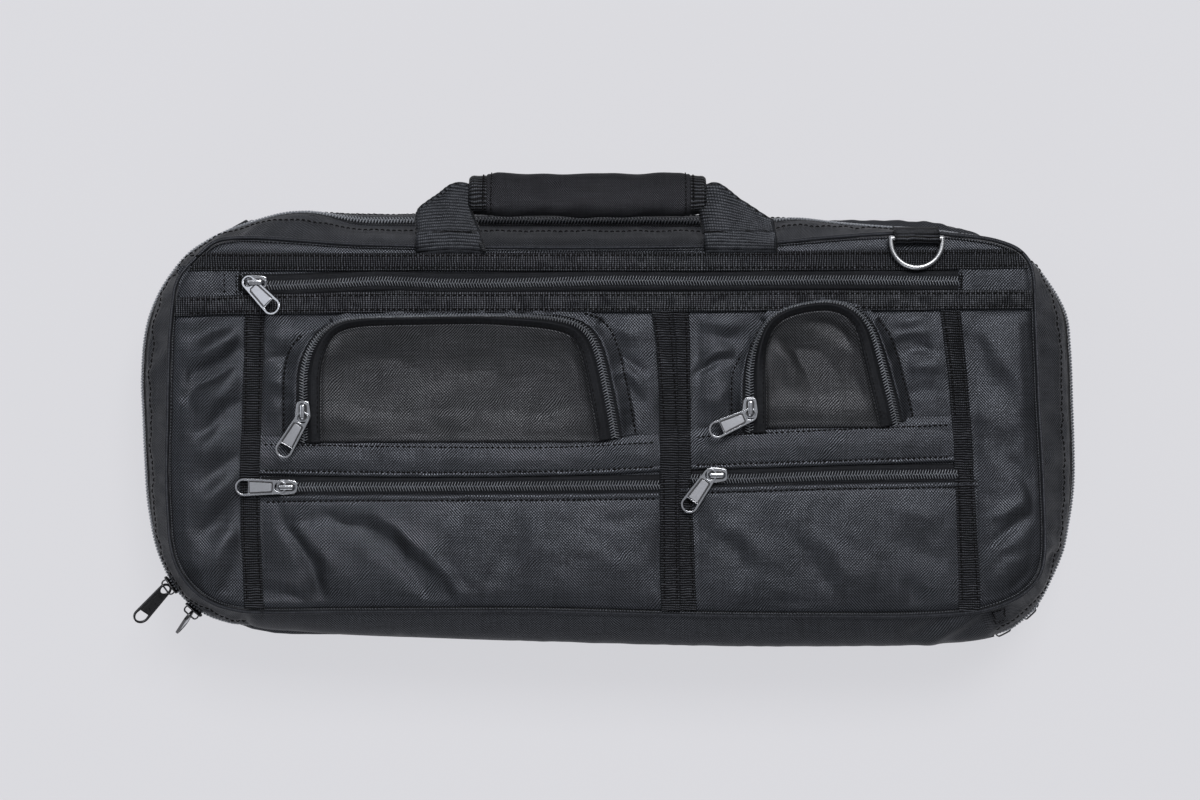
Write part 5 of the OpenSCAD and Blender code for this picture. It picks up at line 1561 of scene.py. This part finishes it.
# the doubled edge of the left strap
A = np.array([[*handle_px(*p, 3.4), 0] for p in ((453, 193), (457.5, 205), (466, 222), (474, 236), (482.5, 250.5))])
B_ = np.array([[*handle_px(*p, 3.4), 0] for p in ((464, 190), (468.6, 203), (475.5, 222), (480.6, 237), (486, 250.5))])
A, B_ = spline(A, 110)[:, :2], spline(B_, 110)[:, :2]
t = np.array([-1, -1, -.9, -.6, 0, .6, .9, 1, 1])[None, :]
X = A[:, 0:1] * (1 - t) / 2 + B_[:, 0:1] * (1 + t) / 2
S = A[:, 1:2] * (1 - t) / 2 + B_[:, 1:2] * (1 + t) / 2
row = np.linspace(0, 38, 110)[:, None]
N = 3.3 + np.array([-2.2, -.7, -.2, 0, .1, 0, -.2, -.7, -2.2])[None] + 0.14 * np.cos(row / 1.3 * 2 * math.pi) * (np.abs(t) < 0.95)
V = in_handle(X, S, N)
V[..., 2] = np.where(S < 4, np.maximum(V[..., 2], 95.3 - 1.2 * (np.abs(t) >= 1) - 0.5 * np.clip(-S - 2, 0, 5)), V[..., 2])
o = Batch().grid(V, np.stack([row + 0 * X, t * 4 + 0 * X], -1)).make("strap_left_edge", webbing_material("strap_fold", (0.026, 0.0275, 0.031), 1.3, 0.9, 0.35), None, "webbing", solid=0.8, off=-1.0)
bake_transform(o, "front_cover", "handle", start=(0, 0.1022, 0.092), end=(0, 0.1066, 0.092))


def grip_ring(x, half_w, half_t, n=44, p=2.6, centre=28.2, bulge=0.0):
    a = np.linspace(0, 2 * math.pi, n, endpoint=False)
    c, s_ = np.cos(a), np.sin(a)
    rr = (np.abs(c) ** p + np.abs(s_) ** p) ** (-1 / p)
    return in_handle(np.full(n, x), centre + half_w * rr * c, half_t * rr * s_ + bulge), a


# padded middle: cloth wrapped round foam, pulled in at both ends
xs = np.concatenate([[-67.6, -67.5, -67.2, -66.6], np.linspace(-65.6, 43.9, 130), [44.9, 45.5, 45.8, 45.9]])
rows, uvs = [], []
r_ = np.random.default_rng(71)
ph = r_.uniform(0, 6.28, 12)
for i, x in enumerate(xs):
    e = min(x + 67.6, 45.9 - x)
    lip = 1 - 0.10 * math.exp(-e / 0.5) - 0.035 * math.exp(-((e - 2.6) / 1.3) ** 2)
    R, a = grip_ring(x, 12.6 * lip + 0.25 * math.sin(x / 19.0 + 1), 7.2 * lip, 72)
    cen = in_handle(x, 28.2, 0)
    dirn = unit(R - cen)
    am = np.minimum(1, e / 6)
    wv = (0.28 * np.sin(x / 8.3 + 2 * a + ph[0]) + 0.22 * np.sin(x / 5.1 - 3 * a + ph[1]) + 0.30 * np.sin(x / 17 + a + ph[2])
          + 0.16 * np.sin(x / 3.4 + 4 * a + ph[3]))
    seam = -0.7 * np.exp(-((np.abs(((a - 4.1 + math.pi) % (2 * math.pi)) - math.pi)) / 0.05) ** 2)
    R = R + dirn * (wv * am + seam)[:, None]
    rows.append(R)
    uvs.append(np.stack([np.full(len(a), x), a * 10.5], -1))
b = Batch().grid(np.array(rows), np.array(uvs), cv=True)
grip = b.make("grip_pad", CLOTH_GRIP, "handle", "cloth", ["handle_grip"])
# webbing caps where the straps enter
for nm, x0, x1 in (("grip_cap_left", -77.2, -66.9), ("grip_cap_right", 45.2, 54.4)):
    rows, uvs = [], []
    q = np.linspace(0, 1, 40)
    for t in q:
        x = x0 + (x1 - x0) * t
        e = min(t, 1 - t) * abs(x1 - x0)
        outer = (t if x0 < 0 else 1 - t)
        k = 1 - 0.16 * math.exp(-outer * 9 / 0.9) + 0.012 * math.sin(t * 9)
        R, a = grip_ring(x, 11.4 * k, 6.6 * k, 64, 2.4, 28.0)
        cen = in_handle(x, 28.0, 0)
        R = R + unit(R - cen) * (0.16 * np.cos(a * 34) + 0.22 * np.sin(3 * a + 2 * t))[:, None]
        rows.append(R)
        uvs.append(np.stack([a * 9.5, np.full(len(a), x)], -1))
    G = np.array(rows)
    close = 0 if x0 < 0 else -1
    b = Batch().grid(G, np.array(uvs), cv=True, flip=False)
    cen = G[close].mean(0)
    rings = np.stack([G[close] * (1 - k) + cen * k + np.array([(-1 if x0 < 0 else 1) * 0.8 * k, 0, 0]) for k in (0, 0.3, 0.7, 0.98)])
    b.grid(rings, np.stack(np.broadcast_arrays(rings[..., 1], rings[..., 2]), -1), cv=True)
    o = b.make(nm, STRAP, "handle", "webbing")
tb_ = Batch()
for x in (-69.2, 47.2):
    R, a = grip_ring(x, 11.9, 6.95, 60, 2.4, 28.0)
    stitches(tb_, R[np.r_[4:28]] + np.array([0, 0, 0.3]), 2.0, 1.3)
for x in (-64.8, 43.0):
    R, a = grip_ring(x, 12.75, 7.3, 60)
    stitches(tb_, R[np.r_[2:30]] + np.array([0, 0, 0.15]), 2.6, 0.9)
tb_.make("grip_threads", THREAD_PAINTED_SHADE, "handle", "cloth")


# ------------------------------------------------- D-rings and their loops
def ring_webbing(name, place, w, profile, body, node):
    prof = spline(np.hstack([np.array(profile, float), np.zeros((len(profile), 1))]), 60)[:, :2]
    xs_ = np.concatenate([[-w, -w, -w + .25], np.linspace(-w + 1, w - 1, 22), [w - .25, w, w]])
    dz = np.concatenate([[-.9, -.3, 0], np.zeros(22), [0, -.3, -.9]])
    T_ = tangent(prof)
    Np = np.stack([-T_[:, 1], T_[:, 0]], 1)
    s_ = arclen(np.hstack([prof, np.zeros((60, 1))]))
    rib = 0.13 * np.cos(s_ / 1.6 * 2 * math.pi)
    G = np.stack([np.stack([np.full(60, x), prof[:, 0] + Np[:, 0] * (d + rib), prof[:, 1] + Np[:, 1] * (d + rib)], -1) for x, d in zip(xs_, dz)], 1)
    uv = np.stack(np.broadcast_arrays(s_[:, None], xs_[None]), -1)
    Batch().add(place(G.reshape(-1, 3)), Batch().grid(G).F, uv).make(name, STRAP, body, "webbing", [node], solid=0.9, off=0.0)


ring_webbing("front_ring_strap", Place(t=(169.3, 104.8, 96.6)), 11.9,
             [(6.2, -7.6), (5.0, -3.2), (3.2, 0.2), (1.6, 1.9), (0, 2.35), (-1.7, 1.7), (-2.45, 0), (-1.8, -1.6), (0, -2.2), (2.4, -2.5), (4.6, -4.4)],
             "front_cover", "front_ring_loop")
_bt = math.radians(119)
ring_webbing("back_ring_strap", Place(t=(-258 + 78 + 81.4 * math.cos(_bt), 119.5 - 78 + 81.4 * math.sin(_bt), 18.4)).turn(("z", 29), ("x", 90)), 11.9,
             [(9.5, 2.6), (5.5, 2.2), (3.2, -0.6), (1.6, -1.9), (0, -2.35), (-1.7, -1.7), (-2.45, 0), (-1.8, 1.6), (0, 2.2), (3.0, 2.9), (9.5, 3.4)],
             "back_cover", "back_ring_loop")
for nm in ("front_d_ring", "back_d_ring"):
    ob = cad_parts[nm]
    ob.data.materials.clear()
    ob.data.materials.append(RING)

# ======================================================================
# Zip hardware: sliders with a bridge, and long pullers with a framed face
# ======================================================================
def merge(batch, part, place, z0=0.0):
    V, F = part
    V = V + np.array([0, 0, z0])
    batch.add(place(V), F)


TOP_PLATE = [(5.75, 1.5), (5.5, 2.9), (4.3, 3.9), (2.4, 4.3), (-1.0, 3.95), (-4.2, 3.45), (-5.4, 2.9), (-5.8, 1.6),
             (-5.8, -1.6), (-5.4, -2.9), (-4.2, -3.45), (-1.0, -3.95), (2.4, -4.3), (4.3, -3.9), (5.5, -2.9), (5.75, -1.5)]
P_TOP = outline_mesh([TOP_PLATE], 0.45, 0.3, 3)
P_TOP2 = outline_mesh([round_rect(9.4, 4.6, 2.1, 8, 0.0)], 0.2, 0.1, 2)
P_LOW = outline_mesh([round_rect(12, 8.4, 2, 6)], 0.5, 0.25, 2)
P_FLANGE = outline_mesh([round_rect(8.4, 0.8, 0.25, 4)], 1.1, 0.15, 2)


def bar_sweep(batch, place, pts, w, t):
    """Flat bar with rounded corners bent along (x, z) points."""
    P = np.array([(x, 0, z) for x, z in pts], float)
    P = spline(P, 40)
    T_ = tangent(P)
    N_ = np.stack([-T_[:, 2], np.zeros(len(P)), T_[:, 0]], 1)
    c = w / 2
    sec = [(-c, -t / 2 + .12), (-c + .15, -t / 2), (c - .15, -t / 2), (c, -t / 2 + .12), (c, t / 2 - .2), (c - .3, t / 2), (-c + .3, t / 2), (-c, t / 2 - .2)]
    G = np.stack([P + np.array([0, y, 0]) + N_ * n for y, n in sec], 1)
    b0 = Batch().grid(G, cv=True)
    ends = [np.arange(8)[None, ::-1], (np.arange(8) + (len(P) - 1) * 8)[None]]
    batch.add(place(G.reshape(-1, 3)), b0.F + ends)


def slider(name, place, body, node, up=3.0, rise=2.4, bar_w=2.4, sides=(-1, 1), bright=True):
    b, d = Batch(), Batch()
    merge(d, P_LOW, place, -0.9)
    merge(b, P_TOP, place, up + 0.45)
    merge(d, P_TOP2, place, up + 0.98)
    for s_ in sides:
        merge(d, P_FLANGE, place.move(0, s_ * 3.75, 0), up - 1.05)
    merge(d, outline_mesh([round_rect(2.6, 0.5, 0.2, 3, 3.4)], up / 2 + 0.5, 0.1, 1), place, up / 2 - 0.6)
    zb_ = up + 0.9 + rise + 0.5
    bar_sweep(b, place, [(-3.75, up + 0.5), (-4.15, up + 1.2), (-4.2, zb_ - 0.75), (-3.6, zb_ - 0.05), (-2.2, zb_ + 0.12), (0, zb_ + 0.16), (2.2, zb_ + 0.12),
                         (3.6, zb_ - 0.05), (4.2, zb_ - 0.75), (4.15, up + 1.2), (3.75, up + 0.5)], bar_w * 1.02, 0.8)
    d.make(name + "_under", DARK_METAL, body, "metal", auto=35)
    return b.make(name, METAL if bright else DARK_METAL, body, "metal", [node], auto=35)


def tangent_hull(r0, r1, L, n=26):
    """Outline round two circles, r0 at the origin and r1 at x = L."""
    b_ = math.asin((r0 - r1) / L)
    a0 = math.pi / 2 - b_
    left = [(r0 * math.cos(a), r0 * math.sin(a)) for a in np.linspace(a0, 2 * math.pi - a0, n)]
    right = [(L + r1 * math.cos(a), r1 * math.sin(a)) for a in np.linspace(-a0, a0, n)]
    return left + right


def puller(name, place, body, node, t=1.6, rim=METAL, face_mat=PLATE):
    L = 28 - 3.7 - 4.75
    window = [(L - 2.3, -3.35), (L + 0.2, -3.75)] + [(L + 3.75 * math.cos(a), 3.75 * math.sin(a)) for a in np.linspace(-1.35, 1.35, 20)] + [(L + 0.2, 3.75), (L - 2.3, 3.35)]
    eye = circle(2.7)
    core = Batch()
    out_ = tangent_hull(3.75, 4.8, L)
    merge(core, outline_mesh([out_, eye, window], t / 2 - 0.36, 0.06, 1), place)
    core.make(name + "_core", DARK_METAL, body, "metal", auto=40)
    # raised rims on both faces
    b = Batch()
    inner = [(4.0, -2.75), (4.9, -3.05)] + [(x, -(3.02 + (x - 5) * 0.05)) for x in (8, 12, L - 3.4)] + [(L - 3.0, -3.6), (L - 2.8, -3.2),
             (L - 2.8, 3.2), (L - 3.0, 3.6)] + [(x, 3.02 + (x - 5) * 0.05) for x in (L - 3.4, 12, 8)] + [(4.9, 3.05), (4.0, 2.75), (3.7, 1.9), (3.7, -1.9)]
    ring_ = outline_mesh([out_, eye, inner, window], 0.2 + (t - 1.6) / 4, 0.17, 4)
    merge(b, ring_, place, t / 2 - 0.2)
    merge(b, ring_, place, -t / 2 + 0.2)
    o = b.make(name, rim, body, "metal", [node], auto=50)
    # the light face plate set in the frame
    f = Batch()
    face = [(4.3, -1.85)] + [(x, -(2.15 + (x - 5) * 0.055)) for x in (5.2, 9, 13, L - 4.4)] + [(L - 3.15, -2.85), (L - 3.15, 2.85)] + \
           [(x, 2.15 + (x - 5) * 0.055) for x in (L - 4.4, 13, 9, 5.2)] + [(4.3, 1.85)]
    fp = outline_mesh([face], 0.18, 0.1, 2)
    merge(f, fp, place, t / 2 - 0.22)
    merge(f, fp, place, -t / 2 + 0.22)
    q = f.make(name + "_face", face_mat, body, "metal", auto=40)
    return o, q


TOP_AT, LL_AT, LR_AT = (-193.3, 80.5, ZT), (-176.5, -31.8, ZT), (59.6, -25.2, ZT)
LP_AT, RP_AT = (-167, 9.6, ZU), (77.6, 11.6, ZU)
W = Place()
for nm, at_, turn, rise, sides in (("top", TOP_AT, 180, 4.8, (-1, 1)), ("lower_left", LL_AT, 180, 2.4, (-1, 1)), ("lower_right", LR_AT, 180, 2.4, (-1, 1)),
                                   ("left_pouch", LP_AT, -90, 2.4, (-1,)), ("right_pouch", RP_AT, -90, 2.4, (-1,))):
    slider(nm + "_slider_cast", W.move(*at_).turn(("z", turn)), nm + "_slider_body", nm + "_slider", rise=rise, sides=sides)
for nm, at_, d, h_, steps in (("top", TOP_AT, (-3.7, 0), 6.3, (("z", -45), ("y", -15))), ("lower_left", LL_AT, (-3.7, 0), 5, (("z", 180),)),
                              ("lower_right", LR_AT, (-3.7, 0), 5, (("z", 235),)), ("left_pouch", LP_AT, (0, -3.7), 5, (("z", 239.5),)),
                              ("right_pouch", RP_AT, (0, -3.7), 5, (("z", 204),))):
    puller(nm + "_puller", W.move(at_[0] + d[0], at_[1] + d[1], at_[2] + h_).turn(*steps), nm + "_pull_body", nm + "_pull")


def on_arc(c, r, a, z):
    return W.move(c[0], c[1], z).turn(("z", a)).move(r, 0, 0).turn(("z", 90), ("x", 90))


LARC, RARC = (-180, -40.5), (198, -58.5)
BN = 3.1 + 0.9 + 2.9 + 0.5
for nm, c, r, a, z in (("front_zip_slider_a", LARC, 78, 215.8, 62), ("front_zip_slider_b", LARC, 78, 229.1, 62),
                       ("back_zip_slider_a", RARC, 60, 297, 32), ("back_zip_slider_b", RARC, 60, 313, 32)):
    slider(nm + "_cast", on_arc(c, r, a, z), nm + "_body", nm, up=3.1, rise=2.9, bar_w=1.5, sides=(-1,), bright=False)
puller("front_zip_puller_a", on_arc(LARC, 78, 215.8, 62).move(0, 0, BN).turn(("y", 12 - 90)).turn(("x", 52)).move(0.6, 0, 0), "front_zip_pull_a_body", "front_zip_pull_a", 1.4, DARK_METAL, DARK_METAL)
puller("front_zip_puller_b", on_arc(LARC, 78, 229.1, 62).move(0, 0, BN).turn(("x", 58)).turn(("y", -90)).move(1.5, 0, 0), "front_zip_pull_b_body", "front_zip_pull_b", rim=DARK_METAL)
for k, a in (("a", 297), ("b", 313)):
    puller("back_zip_puller_" + k, on_arc(RARC, 60, a, 32).move(3.7, 0, 3.1 + 0.9 + 1.45).turn(("z", -90)), "back_zip_pull_%s_body" % k, "back_zip_pull_" + k)

# ======================================================================
# Inside: linings, knife elastics, boards
# ======================================================================
for nm in ("leaf_board", "front_board", "back_board"):
    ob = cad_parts[nm]
    ob.data.materials.clear()
    ob.data.materials.append(BOARD)
INX = SIL.copy()


def lining(name, z, body, nodes, inset, C, amp=0.22, flip=False, seed=81):
    """Stretched lining sheet with a bound edge."""
    Cc = C - unit(np.stack([np.gradient(C[:, 1]), -np.gradient(C[:, 0])], 1)) * inset
    k = [nearest_index(x, y, Cc) for x, y in ((-236, -90), (232, -90), (232, 92), (-232, 92))]
    g = coons(loop_part(Cc, k[0], k[1]), loop_part(Cc, k[1], k[2]), loop_part(Cc, k[2], k[3])[::-1], loop_part(Cc, k[3], k[0])[::-1], 200, 92)
    n_ = amp * smooth_noise(50, seed, g[..., 0], g[..., 1]) + 0.3 * amp * smooth_noise(14, seed + 1, g[..., 0], g[..., 1])
    G = np.dstack([g, z + n_])
    o = Batch().grid(G, g.copy(), flip=flip).make(name, LINING, body, "lining", nodes, solid=0.6, off=0.0)
    rim = np.hstack([Cc[::3], np.full((len(Cc[::3]), 1), z)])
    Batch().tube(rim, 1.0, 8, closed=True, flat=0.8).make(name + "_binding", PIPING, body, "webbing")
    return o, float(np.ptp(Cc[:, 0])) / 1000, float(np.ptp(Cc[:, 1])) / 1000


ZE = np.array([[x, y] for x, y in WALL[:, 13 * SUB, :2]])
ZE[:, 1] = np.maximum(ZE[:, 1], -117.0)
lining("leaf_lining_front", 49.25, "leaf", ["leaf_lining"], 3.4, ZE, 0.25)
lining("leaf_lining_back", 44.75, "leaf", [], 3.4, ZE, 0.25, True, 83)
lining("front_lining_sheet", 86.7, "front_cover", ["front_lining"], 4.0, EDGE, 0.25, True, 85)
lining("back_lining_sheet", 4.3, "back_cover", ["back_lining"], 4.0, EDGE, 0.25, False, 87)


def elastic(name, z, up, node):
    """Two wide knitted bands tacked down into knife loops."""
    b, tk = Batch(), Batch()
    for y0 in (-62, 30):
        n = 900
        x = np.linspace(-215, 215, n)[:, None]
        t = np.array([-1, -1, -.98, -.9, -.6, -.2, .2, .6, .9, .98, 1, 1])[None]
        ph_ = (x + 215) / 430 * 9
        lift = 1.0 * np.abs(np.sin(ph_ * math.pi)) ** 0.6
        rib = 0.12 * np.cos(x * 2 * math.pi / 1.6)
        dz = np.array([-.6, -.2, 0, .05, .1, .1, .1, .1, .05, 0, -.2, -.6])[None]
        Y = y0 + 19 + 19 * t + 0 * x
        Z = z + up * (0.75 + lift + rib + dz)
        b.grid(np.stack([x + 0 * Y, Y, Z + 0 * Y], -1), np.stack([x + 0 * Y, Y], -1), flip=up > 0)
        for k in range(10):
            X0 = -215 + 430 * k / 9 + (0.8 if k == 0 else -0.8 if k == 9 else 0)
            P = np.array([[X0, y, z + up * 0.95] for y in np.linspace(y0 + 1, y0 + 37, 40)])
            stitches(tk, P, 2.4, 1.1, up=(0, 0, float(up)))
    b.make(name, ELASTIC, "leaf", "elastic", [node], solid=0.5, off=0.0)
    tk.make(name + "_tacks", THREAD_PAINTED_SHADE, "leaf", "elastic")


elastic("knife_loops_front", 49.45, 1, "leaf_front_elastics")
elastic("knife_loops_back", 44.55, -1, "leaf_back_elastics")
